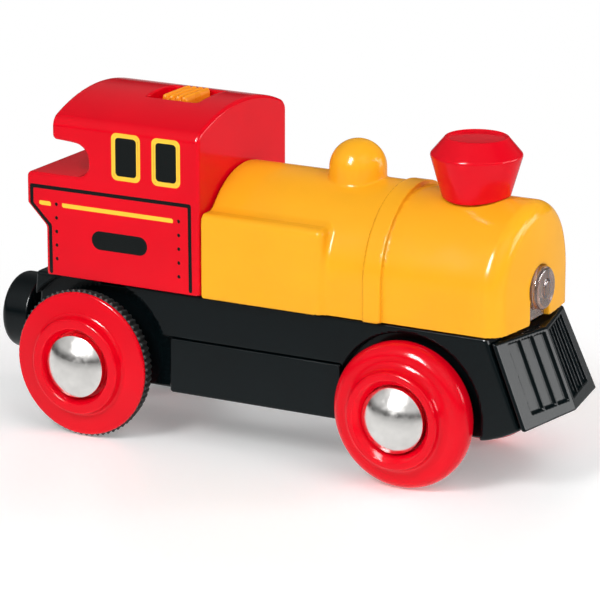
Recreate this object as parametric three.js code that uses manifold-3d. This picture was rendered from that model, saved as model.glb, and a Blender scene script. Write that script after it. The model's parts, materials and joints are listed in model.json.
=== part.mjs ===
// A battery driven toy steam locomotive for 26 mm grooved wooden track.
// Millimetres. +X is the way it drives, +Y its left side, +Z up. The origin is on the ground, at the
// middle of the length and on the centre plane, halfway between the two axles.
import * as THREE from 'three';
import { mergeVertices } from 'three/addons/utils/BufferGeometryUtils.js';
import { ConvexGeometry } from 'three/addons/geometries/ConvexGeometry.js';
import Module from 'manifold-3d';

const wasm = await Module();
wasm.setup();

// ---------- driving dimensions ----------
const LENGTH = 97;
const WHEELBASE = 53.7;
const DECK_Z = 24.0;          // top of the chassis
const GAP = 0.3;              // clearance between separate mouldings
const FIT = 0.08;             // radial clearance of a shaft in its hole

const FRONT_R = 11.05;        // front wheels
const TYRE_R = 11.5;          // rear tyres over the ribs
const DISC_R = 11.15;         // rear wheel discs
const WHEEL_IN = 10.75;       // inner face of every wheel, from the centre plane
const AXLE_R = 1.25;
// Distances from the centre plane: the hub ring's face, the cap's rim and the floor of its recess.
const FRONT_HUB = { face: 17.4, capRim: 16.7, floor: 15.0, capR: 5.0, capRise: 2.0 };
const REAR_HUB = { face: 17.4, capRim: 17.2, floor: 15.5, capR: 4.85, capRise: 1.7 };

const CAB_HALF = 13.5;
const CAB_FRONT = -7.15;
const CAB_REAR = -32.45;      // rear edge of the roof
const EAVES_Z = 48.65;
const ROOF_Z = 51.75;         // crown of the roof
const WALL = 1.5;

const BOILER_REAR = CAB_FRONT + GAP;
const BOILER_FRONT = 42.45;
const BOILER_AXIS_Z = 29.4;
const BAND_X = [19.9, 22.85];
const TANK_FRONT = 13.45;
const TANK_TOP = 37.0;
const DOME_X = 12.35;
const CHIMNEY_X = 31.75;
const LAMP_Z = 29.1;

const SWITCH_X = -17.0;
const SWITCH_TRAVEL = 2.0;
const TRAY = { length: 8.9, half: 4.4, floor: 49.9 };

const MODULE = 0.5;           // gear module
const WHEEL_TEETH = 20;
const PINION_TEETH = 8;
const GEAR_PLAY = 0.06;       // added to each gear centre distance

const CELL = { r: 5.25, z: 15.05, rear: -21.2, shoulder: 22.5, nub: 23.3 };
const DRUM = { r: 6.0, z: 13.7, rear: -47.45, front: -42.45, round: 1.3 };

// ---------- materials ----------
const paint = (color, roughness, metalness = 0) =>
  new THREE.MeshStandardMaterial({ color, roughness, metalness });
const RED = paint(0xd8101f, 0.25);
const YELLOW = paint(0xffb024, 0.25);
const BLACK = paint(0x14191a, 0.35);
const RUBBER = paint(0x1b1d1e, 0.8);
const STEEL = paint(0xc9cbcc, 0.25, 1);
const BRASS = paint(0xc8a24a, 0.35, 1);
const COPPER = paint(0xb56a3a, 0.4, 1);
const GEAR_WHITE = paint(0xe9e6dc, 0.5);
const SWITCH_ORANGE = paint(0xf79a16, 0.35);
const CLEAR = paint(0xf6d9c8, 0.05);
const LAMP = paint(0xfff3d6, 0.1);
const BOARD_GREEN = paint(0x1f6b3a, 0.5);
const CELL_LABEL = paint(0x3c5f8a, 0.4);
const MAGNET_GREY = paint(0x6e7175, 0.4, 1);
const WIRE_RED = paint(0xb3141c, 0.5);
const WIRE_BLACK = paint(0x202020, 0.5);

// ---------- solids ----------
function solid(source) {
  const bare = source.clone();
  for (const key of Object.keys(bare.attributes)) {
    if (key !== 'position') bare.deleteAttribute(key);
  }
  const welded = mergeVertices(bare, 1e-4);
  const points = welded.attributes.position.array;
  const corners = welded.index.array;
  const kept = [];
  let volume = 0;
  for (let i = 0; i < corners.length; i += 3) {
    const [a, b, c] = [corners[i], corners[i + 1], corners[i + 2]];
    if (a === b || b === c || a === c) continue;
    kept.push(a, b, c);
    const [A, B, C] = [a, b, c].map((k) => new THREE.Vector3().fromArray(points, 3 * k));
    volume += A.dot(B.cross(C));
  }
  if (volume < 0) kept.reverse();
  const mesh = new wasm.Mesh({
    numProp: 3,
    vertProperties: new Float32Array(points),
    triVerts: new Uint32Array(kept),
  });
  mesh.merge();
  return new wasm.Manifold(mesh);
}

function toGeometry(manifold) {
  const mesh = manifold.getMesh();
  const geometry = new THREE.BufferGeometry();
  geometry.setAttribute('position', new THREE.BufferAttribute(new Float32Array(mesh.vertProperties), 3));
  geometry.setIndex(new THREE.BufferAttribute(new Uint32Array(mesh.triVerts), 1));
  geometry.computeVertexNormals();
  return geometry;
}

const join = (...solids) => solids.reduce((whole, next) => whole.add(next));
const cut = (body, ...tools) => tools.reduce((left, tool) => left.subtract(tool), body);

function box([x0, x1], [y0, y1], [z0, z1]) {
  const block = new THREE.BoxGeometry(x1 - x0, y1 - y0, z1 - z0);
  return solid(block.translate((x0 + x1) / 2, (y0 + y1) / 2, (z0 + z1) / 2));
}

function outline(points, holes = []) {
  const shape = new THREE.Shape(points.map(([a, b]) => new THREE.Vector2(a, b)));
  for (const hole of holes) {
    shape.holes.push(new THREE.Path(hole.map(([a, b]) => new THREE.Vector2(a, b))));
  }
  return shape;
}

function extruded(shape, depth) {
  return new THREE.ExtrudeGeometry(shape, { depth, bevelEnabled: false, curveSegments: 12, steps: 1 });
}

// A side view outline of [x, z] points, extruded from y0 to y1.
function acrossY(points, [y0, y1], holes = []) {
  return solid(extruded(outline(points, holes), y1 - y0).rotateX(Math.PI / 2).translate(0, y1, 0));
}

// A front view outline of [y, z] points, extruded from x0 to x1.
function alongX(points, [x0, x1]) {
  const turn = new THREE.Matrix4().makeBasis(
    new THREE.Vector3(0, 1, 0), new THREE.Vector3(0, 0, 1), new THREE.Vector3(1, 0, 0));
  return solid(extruded(outline(points), x1 - x0).applyMatrix4(turn).translate(x0, 0, 0));
}

// A profile of [radius, height] points turned about an axis through [a, b], the other two coordinates.
function turned(profile, axis, [a, b], segments = 32) {
  const lathe = new THREE.LatheGeometry(profile.map(([r, h]) => new THREE.Vector2(r, h)), segments);
  if (axis === 'x') lathe.rotateZ(-Math.PI / 2).translate(0, a, b);
  if (axis === 'y') lathe.translate(a, 0, b);
  if (axis === 'z') lathe.rotateX(Math.PI / 2).translate(a, b, 0);
  return solid(lathe);
}

function rod(axis, radius, [low, high], centre, segments = 16) {
  return turned([[0, low], [radius, low], [radius, high], [0, high]], axis, centre, segments);
}

function ring(axis, inner, outer, [low, high], centre, segments = 24) {
  const profile = [[inner, low], [outer, low], [outer, high], [inner, high], [inner, low]];
  return turned(profile, axis, centre, segments);
}

// Points of a circular arc, angles in degrees from the first coordinate towards the second.
function arc([a, b], radius, from, to, steps) {
  return Array.from({ length: steps + 1 }, (_, i) => {
    const angle = THREE.MathUtils.degToRad(from + ((to - from) * i) / steps);
    return [a + radius * Math.cos(angle), b + radius * Math.sin(angle)];
  });
}

const mirrored = (points) => [...points, ...points.map(([y, z]) => [-y, z]).reverse()];

// ---------- assembly ----------
const locomotive = new THREE.Group();
locomotive.name = 'toy_train_locomotive';

function place(name, manifold, material, parent = locomotive) {
  const mesh = new THREE.Mesh(toGeometry(manifold), material);
  mesh.name = name;
  parent.add(mesh);
  return mesh;
}

const FRONT_AXLE = [WHEELBASE / 2, FRONT_R];
const REAR_AXLE = [-WHEELBASE / 2, TYRE_R];

// ---------- gear train: where each shaft stands, as [x, z] ----------
const pitchRadius = (teeth) => (MODULE * teeth) / 2;
const GEAR_STEP = pitchRadius(WHEEL_TEETH) + pitchRadius(PINION_TEETH) + GEAR_PLAY;

function stepFrom([x, z], degrees) {
  const angle = THREE.MathUtils.degToRad(degrees);
  return [x + GEAR_STEP * Math.cos(angle), z + GEAR_STEP * Math.sin(angle)];
}

const SHAFT_ANGLES = [70, 60, 82];
const LOWER_SHAFT = stepFrom(REAR_AXLE, SHAFT_ANGLES[0]);
const UPPER_SHAFT = stepFrom(LOWER_SHAFT, SHAFT_ANGLES[1]);
const MOTOR_SHAFT = stepFrom(UPPER_SHAFT, SHAFT_ANGLES[2]);
const SHAFT_R = 0.75;
const LAYER = { inner: [6.1, 7.1], middle: [7.3, 8.3], outer: [8.5, 9.5] };

// One tooth is a blunt wedge, thin enough to run with play in the mesh.
function gearOutline(teeth, phase) {
  const r = pitchRadius(teeth);
  const corners = [[r - 0.62, 0.42], [r + 0.42, 0.14]];
  const points = [];
  for (let tooth = 0; tooth < teeth; tooth += 1) {
    const middle = phase + (2 * Math.PI * tooth) / teeth;
    const side = (sign) => corners.map(([radius, half]) => {
      const angle = middle + (sign * half) / radius;
      return [radius * Math.cos(angle), radius * Math.sin(angle)];
    });
    points.push(...side(-1), ...side(1).reverse());
  }
  return points;
}

// The phase that puts a gap of the second gear on the first gear's tooth, in mesh along a direction.
function meshPhase(firstTeeth, firstPhase, secondTeeth, degrees) {
  const angle = THREE.MathUtils.degToRad(degrees);
  return angle + Math.PI - (Math.PI - firstTeeth * (angle - firstPhase)) / secondTeeth;
}

function gear(teeth, phase, [x, z], layer, boreR) {
  const points = gearOutline(teeth, phase).map(([a, b]) => [a + x, b + z]);
  return cut(acrossY(points, layer), rod('y', boreR, [layer[0] - 1, layer[1] + 1], [x, z], 16));
}

// The two toothed rings of a compound gear and the hub that joins them.
function compoundGear(centre, bigPhase, bigLayer, smallPhase, smallLayer) {
  const span = [Math.min(bigLayer[0], smallLayer[0]), Math.max(bigLayer[1], smallLayer[1])];
  return join(
    gear(WHEEL_TEETH, bigPhase, centre, bigLayer, SHAFT_R + FIT),
    gear(PINION_TEETH, smallPhase, centre, smallLayer, SHAFT_R + FIT),
    ring('y', SHAFT_R + FIT, 1.3, span, centre, 16),
  );
}

const axlePhase = 0;
const lowerSmallPhase = meshPhase(WHEEL_TEETH, axlePhase, PINION_TEETH, SHAFT_ANGLES[0]);
const lowerBigPhase = 0;
const upperSmallPhase = meshPhase(WHEEL_TEETH, lowerBigPhase, PINION_TEETH, SHAFT_ANGLES[1]);
const upperBigPhase = 0;
const pinionPhase = meshPhase(WHEEL_TEETH, upperBigPhase, PINION_TEETH, SHAFT_ANGLES[2]);

place('lower_compound_gear',
  compoundGear(LOWER_SHAFT, lowerBigPhase, LAYER.middle, lowerSmallPhase, LAYER.inner), GEAR_WHITE);
place('upper_compound_gear',
  compoundGear(UPPER_SHAFT, upperBigPhase, LAYER.outer, upperSmallPhase, LAYER.middle), GEAR_WHITE);
place('motor_pinion', gear(PINION_TEETH, pinionPhase, MOTOR_SHAFT, LAYER.outer, SHAFT_R + FIT), BRASS);
place('lower_gear_shaft', rod('y', SHAFT_R, [5.2, 10.2], LOWER_SHAFT, 16), STEEL);
place('upper_gear_shaft', rod('y', SHAFT_R, [5.2, 10.2], UPPER_SHAFT, 16), STEEL);

// ---------- gearbox housing: a rounded pear around the shafts ----------
const HOUSING_R = [6.6, 6.6, 6.6, 4.2];
function pear(grow, [y0, y1]) {
  const centres = [REAR_AXLE, LOWER_SHAFT, UPPER_SHAFT, MOTOR_SHAFT];
  const points = [];
  centres.forEach((centre, i) => {
    for (const [x, z] of arc(centre, HOUSING_R[i] + grow, 0, 337.5, 15)) {
      points.push(new THREE.Vector3(x, y0, z), new THREE.Vector3(x, y1, z));
    }
  });
  return solid(new ConvexGeometry(points));
}

const MOTOR_FACE = 5.0;
const INNER_PLATE = [5.1, 5.9];
const COVER = [5.95, 10.3];
const cellRoom = rod('x', CELL.r + 0.35, [-21.6, 0], [0, CELL.z]);
const shaftHoles = [LOWER_SHAFT, UPPER_SHAFT].map((at) => rod('y', SHAFT_R + FIT, [0, 12], at, 12));
const axleHole = rod('y', AXLE_R + FIT, [-12, 12], REAR_AXLE);
const bossHole = rod('y', 2.7, [0, 7], MOTOR_SHAFT);
place('gearbox_inner_plate',
  cut(pear(0, INNER_PLATE), ...shaftHoles, axleHole, bossHole, cellRoom), BLACK);
const coverShell = cut(pear(0, COVER), pear(-0.8, [COVER[0] - 1, COVER[1] - 0.6]));
place('gearbox_cover', cut(coverShell, ...shaftHoles, axleHole), BLACK);

// ---------- motor: a flat sided can across the cab, its shaft in the gearbox ----------
const CAN = { r: 7.75, half: 6.0, rear: -8.5, wall: 0.6, bore: 1.6 };
const [motorX, motorZ] = MOTOR_SHAFT;
const canSides = (half) => box([motorX - half, motorX + half], [-20, 20], [motorZ - 10, motorZ + 10]);
const canOuter = rod('y', CAN.r, [CAN.rear, MOTOR_FACE], MOTOR_SHAFT, 32).intersect(canSides(CAN.half));
const canInner = rod('y', CAN.r - CAN.wall, [CAN.rear - 1, MOTOR_FACE - CAN.wall], MOTOR_SHAFT, 32)
  .intersect(canSides(CAN.half - CAN.wall));
const canBoss = rod('y', 2.4, [MOTOR_FACE - CAN.wall, 5.85], MOTOR_SHAFT);
const shaftRoom = rod('y', SHAFT_R + FIT, [-20, 20], MOTOR_SHAFT, 16);
place('motor_can', cut(join(cut(canOuter, canInner), canBoss), shaftRoom), STEEL);
const capPlug = rod('y', CAN.r - CAN.wall - 0.1, [CAN.rear - 0.05, CAN.rear + 1.2], MOTOR_SHAFT, 32)
  .intersect(canSides(CAN.half - CAN.wall - 0.1));
const capFlange = rod('y', CAN.r, [CAN.rear - 1.6, CAN.rear - 0.05], MOTOR_SHAFT, 32)
  .intersect(canSides(CAN.half));
place('motor_end_cap', cut(join(capPlug, capFlange), shaftRoom), GEAR_WHITE);
const fieldRing = ring('y', 5.3, CAN.r - CAN.wall - 0.1, [-6.8, 3.8], MOTOR_SHAFT, 32);
for (const [name, sign] of [['motor_magnet_upper', 1], ['motor_magnet_lower', -1]]) {
  const side = box([motorX - 4.2, motorX + 4.2], [-9, 9],
    sign > 0 ? [motorZ + 2, motorZ + 9] : [motorZ - 9, motorZ - 2]);
  place(name, fieldRing.intersect(side), MAGNET_GREY);
}
place('motor_shaft', rod('y', SHAFT_R, [CAN.rear - 1.4, LAYER.outer[1]], MOTOR_SHAFT, 16), STEEL);

// The armature: three wound poles and a commutator, on the motor shaft.
const armatureBore = rod('y', SHAFT_R + FIT, [-9, 9], MOTOR_SHAFT, 16);
let armature = join(
  rod('y', 2.4, [-5.6, 2.8], MOTOR_SHAFT, 18),
  rod('y', 1.6, [-6.9, -5.6], MOTOR_SHAFT, 18),
);
for (const degrees of [90, 210, 330]) {
  const pole = [...arc([0, 0], 4.9, degrees - 42, degrees + 42, 6),
    ...arc([0, 0], 4.1, degrees + 42, degrees - 42, 6)].map(([a, b]) => [a + motorX, b + motorZ]);
  const web = [...arc([0, 0], 4.3, degrees - 9, degrees + 9, 1),
    ...arc([0, 0], 2.0, degrees + 20, degrees - 20, 1)].map(([a, b]) => [a + motorX, b + motorZ]);
  armature = join(armature, acrossY(pole, [-5.2, 2.4]), acrossY(web, [-5.2, 2.4]));
}
place('motor_armature', cut(armature, armatureBore), COPPER);

// ---------- wheels, each turned about its axle and mirrored for the right side ----------
const bore = AXLE_R + FIT;

// From the outside of the raised hub ring inwards to the floor of the recess that holds the cap.
function hubProfile({ face, floor }) {
  return [[7.35, face - 0.4], [7.05, face], [6.3, face], [5.25, face - 1.3], [5.25, floor],
    [bore, floor]];
}

function frontWheelProfile() {
  const rim = arc([FRONT_R - 2.1, 13.1], 2.1, -90, 90, 5);
  return [[bore, WHEEL_IN + 0.15], ...rim, [7.9, 15.9], ...hubProfile(FRONT_HUB),
    [bore, WHEEL_IN + 0.15]];
}

const TYRE = { inner: 12.3, outer: 14.95, seat: 9.6, taper: 0.7 };
function rearWheelProfile() {
  return [[bore, WHEEL_IN], [3.2, WHEEL_IN], [3.2, TYRE.inner], [TYRE.seat, TYRE.inner],
    [TYRE.seat, TYRE.outer + 0.05], [DISC_R, TYRE.outer + 0.05], [DISC_R, 15.3],
    [DISC_R - 0.3, 15.6], [7.95, 16.1], ...hubProfile(REAR_HUB), [bore, WHEEL_IN]];
}

function capProfile({ capRim, floor, capR, capRise }) {
  const ball = (capR ** 2 + capRise ** 2) / (2 * capRise);
  const centre = capRim + capRise - ball;
  const start = THREE.MathUtils.radToDeg(Math.acos(capR / ball));
  const dome = arc([0, centre], ball, start, 90, 4).slice(1, -1);
  return [[0, floor + 0.1], [capR, floor + 0.1], [capR, capRim], ...dome, [0, capRim + capRise]];
}

// A ribbed ring that narrows towards the middle of the engine.
function tyre(ribs) {
  const ribbed = Array.from({ length: 2 * ribs }, (_, i) => {
    const radius = i % 2 === 0 ? TYRE_R : TYRE_R - 0.4;
    const angle = (Math.PI * i) / ribs - Math.PI / 2;
    return [radius * Math.cos(angle), radius * Math.sin(angle)];
  });
  const seat = arc([0, 0], TYRE.seat + 0.15, 0, 348, 29);
  const tread = extruded(outline(ribbed), TYRE.outer - TYRE.inner);
  const places = tread.attributes.position;
  const innerScale = (TYRE_R - TYRE.taper) / TYRE_R;
  for (let i = 0; i < places.count; i += 1) {
    const k = THREE.MathUtils.lerp(1, innerScale, places.getZ(i) / (TYRE.outer - TYRE.inner));
    places.setXY(i, places.getX(i) * k, places.getY(i) * k);
  }
  const ring = solid(tread.rotateX(Math.PI / 2).translate(0, TYRE.outer, 0));
  return cut(ring, acrossY(seat, [TYRE.inner - 1, TYRE.outer + 1]));
}

function wheelset(name, [x, z], profile, hub) {
  const set = new THREE.Group();
  set.position.set(x, 0, z);
  locomotive.add(set);
  const reach = hub.floor - 0.1;
  place(`${name}_axle`, rod('y', AXLE_R, [-reach, reach], [0, 0]), STEEL, set);
  for (const side of ['left', 'right']) {
    const half = new THREE.Group();
    half.rotation.z = side === 'left' ? 0 : Math.PI;
    set.add(half);
    place(`${name}_wheel_${side}`, turned(profile, 'y', [0, 0], 24), RED, half);
    place(`${name}_hub_cap_${side}`, turned(capProfile(hub), 'y', [0, 0], 20), STEEL, half);
    if (name === 'rear') place(`rear_tyre_${side}`, tyre(36), RUBBER, half);
  }
}

wheelset('front', FRONT_AXLE, frontWheelProfile(), FRONT_HUB);
wheelset('rear', REAR_AXLE, rearWheelProfile(), REAR_HUB);
place('axle_gear', gear(WHEEL_TEETH, axlePhase, REAR_AXLE, LAYER.inner, AXLE_R + FIT), GEAR_WHITE);

// ---------- chassis ----------
const CHASSIS_HALF = 12.0;
const WELL_FACE = 10.2;
const BELLY_Z = 8.2;
const DOOR_X = [-11.0, 15.8];
const DOOR_WING_X = [-13.2, 15.8];   // the wings reach back to the edge of the wheel well
const WELL_VOID_X = -15;
const DOOR_SIDE_Z = 16.6;
const STRIP_X = [-23.3, 23.3];
const FRONT_PLATE_X = [23.8, 38.6];

const chassisSide = [
  [-36.75, DECK_Z], [-37.4, 17.5], [-37.4, 12.5], [-36.2, 10.6], [-34.2, 9.0], [-31.5, BELLY_Z],
  [37.4, BELLY_Z], [39.7, 8.6], [42.0, 9.4], [43.8, 10.3], [44.9, 10.9], [39.6, DECK_Z - 0.2],
  [39.4, DECK_Z],
];
const bothSides = ([inner, outer]) => [[-outer, -inner], [inner, outer]];
const wells = bothSides([WELL_FACE, 14]).flatMap((reach) => [
  rod('y', 13.4, reach, REAR_AXLE, 32), rod('y', 12.6, reach, FRONT_AXLE, 32)]);

const FLOOR = 9.3;            // upper face of the bottom covers
const BAY = { x: [-24.4, 24.05], half: 5.7, top: 20.7 };
const cellBay = box(BAY.x, [-BAY.half, BAY.half], [0, BAY.top]);
const sidePockets = bothSides([6.9, 10.2]).map((y) => box([-8.2, 10.2], y, [0, 22.4]));
const grown = ([low, high]) => [low - GAP, high + GAP];
const doorRoom = join(
  box(grown(DOOR_X), [-20, 20], [0, FLOOR + GAP]),
  ...bothSides([10.65, 20]).map((y) => box([WELL_VOID_X, DOOR_X[1] + GAP], y, [0, DOOR_SIDE_Z + GAP])),
  box(grown(STRIP_X), [-7.2, 7.2], [0, FLOOR + GAP]),
);
const axleCoverRoom = box(grown(FRONT_PLATE_X), [-9.3, 9.3], [0, FLOOR + GAP]);
const frontAxleSlot = box([FRONT_AXLE[0] - AXLE_R - FIT, FRONT_AXLE[0] + AXLE_R + FIT],
  [-11, 11], [0, FRONT_AXLE[1]]);
const motorCradle = box([motorX - CAN.half - 0.5, motorX + CAN.half + 0.5],
  [CAN.rear - 2.2, MOTOR_FACE + 0.2], [22.9, 30]);

// Screws: the head is at the lower end. The body screws reach up into posts inside the shells.
const SHANK_R = 1.0;
const CAB_SCREWS = [[-11.1, 8.7], [-11.1, -8.7]];
const BOILER_SCREWS = [[34.2, 7.4], [34.2, -7.4]];
const BODY_HEAD_Z = 18.1;
const DOOR_SCREW = [12.9, -8.6];
const COVER_SCREW = [32.0, 0];
const COVER_HEAD_Z = 8.75;
const bodyScrewHoles = [...CAB_SCREWS, ...BOILER_SCREWS].flatMap((at) => [
  rod('z', 2.2, [0, BODY_HEAD_Z + 0.1], at, 12), rod('z', SHANK_R + 0.15, [0, 30], at, 12)]);
const coverScrewHoles = [DOOR_SCREW, COVER_SCREW].map((at) => (
  rod('z', SHANK_R + FIT, [0, 16.5], at, 12)));

function screw(at, headZ, tipZ, headHeight) {
  const blade = 0.25;
  const low = headZ - headHeight;
  const [x, y] = at;
  return cut(
    join(rod('z', 1.9, [low, headZ], at, 12), rod('z', SHANK_R, [headZ - 0.1, tipZ], at, 8)),
    box([x - 1.1, x + 1.1], [y - blade, y + blade], [low - 1, low + 0.3]),
    box([x - blade, x + blade], [y - 1.1, y + 1.1], [low - 1, low + 0.3]),
  );
}

// The coupling neck is part of the frame, and the drum is riveted to it.
const neck = box([DRUM.front + GAP, -36.0], [-2.6, 2.6], [DRUM.z - 2.5, DRUM.z + 2.5]);
const RIVET_R = 1.0;
const rivetHole = rod('x', RIVET_R + FIT, [-50, -38.4], [0, DRUM.z], 16);
const PEGS = [-7, 7];
const pegHoles = PEGS.map((y) => rod('x', 1.5, [37.5, 50], [y, 17.5], 16));
const wireHoles = [[22.3, 3], [-12.3, -3]].map((at) => rod('z', 0.9, [15, 30], at, 12));

const chassis = cut(
  join(acrossY(chassisSide, [-CHASSIS_HALF, CHASSIS_HALF]), neck),
  ...wells, cellBay, ...sidePockets, doorRoom, axleCoverRoom, frontAxleSlot,
  rod('y', AXLE_R + FIT, [-11, 11], FRONT_AXLE), rod('y', AXLE_R + FIT, [-11, 11], REAR_AXLE),
  pear(GAP, [4.8, 11]), motorCradle, ...bodyScrewHoles, ...coverScrewHoles, rivetHole,
  ...pegHoles, ...wireHoles,
);
place('chassis_frame', chassis, BLACK);

// ---------- covers under the chassis ----------
const countersink = (at) => join(
  rod('z', 2.1, [0, COVER_HEAD_Z + 0.05], at, 12), rod('z', SHANK_R + 0.1, [0, 12], at, 12));
const doorSides = bothSides([10.95, CHASSIS_HALF]).map((y) => (
  box(DOOR_WING_X, y, [BELLY_Z, DOOR_SIDE_Z])));
const batteryDoor = join(
  box(DOOR_X, [-CHASSIS_HALF, CHASSIS_HALF], [BELLY_Z, FLOOR]),
  box([-19.4, STRIP_X[1]], [-6.9, 6.9], [BELLY_Z, FLOOR]),
  box(STRIP_X, [-4.6, 4.6], [BELLY_Z, FLOOR]), ...doorSides,
);
place('battery_door', cut(batteryDoor, countersink(DOOR_SCREW),
  ...CAB_SCREWS.map((at) => rod('z', 2.2, [0, BODY_HEAD_Z], at, 12))), BLACK);
place('battery_door_screw', screw(DOOR_SCREW, COVER_HEAD_Z, 15.5, 0.5), STEEL);
const axleKeeper = box([FRONT_AXLE[0] - 0.9, FRONT_AXLE[0] + 0.9], [-8, 8], [FLOOR - 0.1, 9.8]);
place('front_axle_cover',
  cut(join(box(FRONT_PLATE_X, [-9, 9], [BELLY_Z, FLOOR]), axleKeeper), countersink(COVER_SCREW)), BLACK);
place('front_axle_cover_screw', screw(COVER_SCREW, COVER_HEAD_Z, 15.5, 0.5), STEEL);
CAB_SCREWS.forEach((at, i) => place(`cab_screw_${i + 1}`, screw(at, BODY_HEAD_Z, 30, 1.2), STEEL));
BOILER_SCREWS.forEach((at, i) => place(`boiler_screw_${i + 1}`, screw(at, BODY_HEAD_Z, 30, 1.2), STEEL));

// ---------- cab ----------
// Side view: a roof that overhangs an open back, a round-ended notch and a coal bunker behind.
const BUNKER_Z = 40.0;
const SKIRT_Z = DECK_Z + 0.25;
const cabSide = [
  [CAB_FRONT, SKIRT_Z], [CAB_FRONT, EAVES_Z], [CAB_REAR, EAVES_Z], [CAB_REAR + 0.15, 46.0],
  [CAB_REAR + 0.7, 45.44], [-28.9, 45.2], [-27.5, 44.8],
  ...arc([-28.4, 42.55], 2.15, 50, -48, 6),
  [-28.3, BUNKER_Z], [-36.0, BUNKER_Z], [-36.6, 39.75], [-36.85, 39.1], [-36.87, 35.1],
  [-33.65, 31.8], [-33.65, SKIRT_Z],
];
const CAB_IN = 12.0;
const cabRoom = [
  [CAB_FRONT - WALL, 20], [CAB_FRONT - WALL, 47.0], [-24.7, 47.0], [-24.7, 38.5], [-35.35, 38.5],
  [-35.35, 35.7], [-32.15, 32.4], [-32.15, 20],
];
const ROOF_RISE = ROOF_Z - EAVES_Z;
const ROOF_R = (CAB_HALF ** 2 + ROOF_RISE ** 2) / (2 * ROOF_RISE);
const roofAngle = THREE.MathUtils.radToDeg(Math.asin(CAB_HALF / ROOF_R));
const roofArch = [...arc([0, ROOF_Z - ROOF_R], ROOF_R, 90 - roofAngle, 90 + roofAngle, 14),
  [-CAB_HALF, EAVES_Z - 1], [CAB_HALF, EAVES_Z - 1]];
const TRAY_UNDER = 49.35;
const tray = box([SWITCH_X - TRAY.length / 2, SWITCH_X + TRAY.length / 2], [-TRAY.half, TRAY.half],
  [TRAY.floor, 60]);
const STEM = { x: 1.1, y: 1.2 };
const stemSlot = box([SWITCH_X - STEM.x - SWITCH_TRAVEL - 0.15, SWITCH_X + STEM.x + SWITCH_TRAVEL + 0.15],
  [-STEM.y - 0.15, STEM.y + 0.15], [45, 60]);
const switchRoom = box([-24.7, CAB_FRONT - WALL], [-6, 6], [46, TRAY_UNDER]);
const POST_R = 2.2;
const BOARD_Z = [40.4, 41.4];
function screwPost([x, y], top) {
  return rod('z', POST_R, [SKIRT_Z, top], [x, y], 16);
}
const cabPosts = CAB_SCREWS.flatMap(([x, y]) => [
  screwPost([x, y], BOARD_Z[0] - 0.1), box([x, CAB_FRONT - 0.5], [y - 0.5, y + 0.5], [25, 38])]);
const pilot = ([x, y]) => rod('z', SHANK_R + FIT, [20, 31], [x, y], 16);
const wireWindow = box([CAB_FRONT - 3, CAB_FRONT + 3], [-4.5, 4.5], [26, 38]);
const cab = cut(
  join(
    cut(join(acrossY(cabSide, [-CAB_HALF, CAB_HALF]), alongX(roofArch, [CAB_REAR, CAB_FRONT])),
      acrossY(cabRoom, [-CAB_IN, CAB_IN]), switchRoom),
    ...cabPosts),
  tray, stemSlot, wireWindow, ...CAB_SCREWS.map(pilot),
);
place('cab_shell', cab, RED);

// ---------- switch and circuit board ----------
const buttonHalf = { x: 2.15, y: 3.75 };
const BUTTON_Z = [TRAY.floor + 0.15, 51.55];
const ridges = [-1.5, -0.5, 0.5, 1.5].map((step) => (
  box([SWITCH_X + step * 1.1 - 0.25, SWITCH_X + step * 1.1 + 0.25], 
    [0.25 - buttonHalf.y, buttonHalf.y - 0.25], [BUTTON_Z[1] - 0.1, BUTTON_Z[1] + 0.35])));
place('switch_button', join(
  box([SWITCH_X - buttonHalf.x, SWITCH_X + buttonHalf.x], [-buttonHalf.y, buttonHalf.y], BUTTON_Z),
  box([SWITCH_X - STEM.x, SWITCH_X + STEM.x], [-STEM.y, STEM.y], [47.6, BUTTON_Z[0] + 0.1]),
  ...ridges), SWITCH_ORANGE);
const sliderSocket = box([SWITCH_X - STEM.x - 0.1, SWITCH_X + STEM.x + 0.1],
  [-STEM.y - 0.1, STEM.y + 0.1], [47.5, 50]);
place('switch_slider', cut(join(
  box([SWITCH_X - 5.3, SWITCH_X + 5.3], [-2.4, 2.4], [TRAY_UNDER - 0.65, TRAY_UNDER - 0.15]),
  box([SWITCH_X - 1.9, SWITCH_X + 1.9], [-1.9, 1.9], [46.3, TRAY_UNDER - 0.6]),
  box([SWITCH_X - 0.8, SWITCH_X + 0.8], [-0.8, 0.8], [43.9, 46.4])), sliderSocket), RED);
place('switch_body', cut(
  box([SWITCH_X - 4.3, SWITCH_X + 4.3], [-2.2, 2.2], [BOARD_Z[1] + 0.05, 45.8]),
  box([SWITCH_X - 3.1, SWITCH_X + 3.1], [-1.1, 1.1], [43.6, 50])), STEEL);
place('circuit_board', box([-24.3, -9.0], [-11.6, 11.6], BOARD_Z), BOARD_GREEN);

// ---------- boiler ----------
const BOILER_BOTTOM = DECK_Z + 0.1;
const REAR_R = 12.8;
const BAND_R = 13.2;
const FRONT_BOILER_R = 12.4;

function boilerSection(radius) {
  return [...arc([0, BOILER_AXIS_Z], radius, 0, 180, 18), [-radius, BOILER_BOTTOM],
    [radius, BOILER_BOTTOM]];
}

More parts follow.
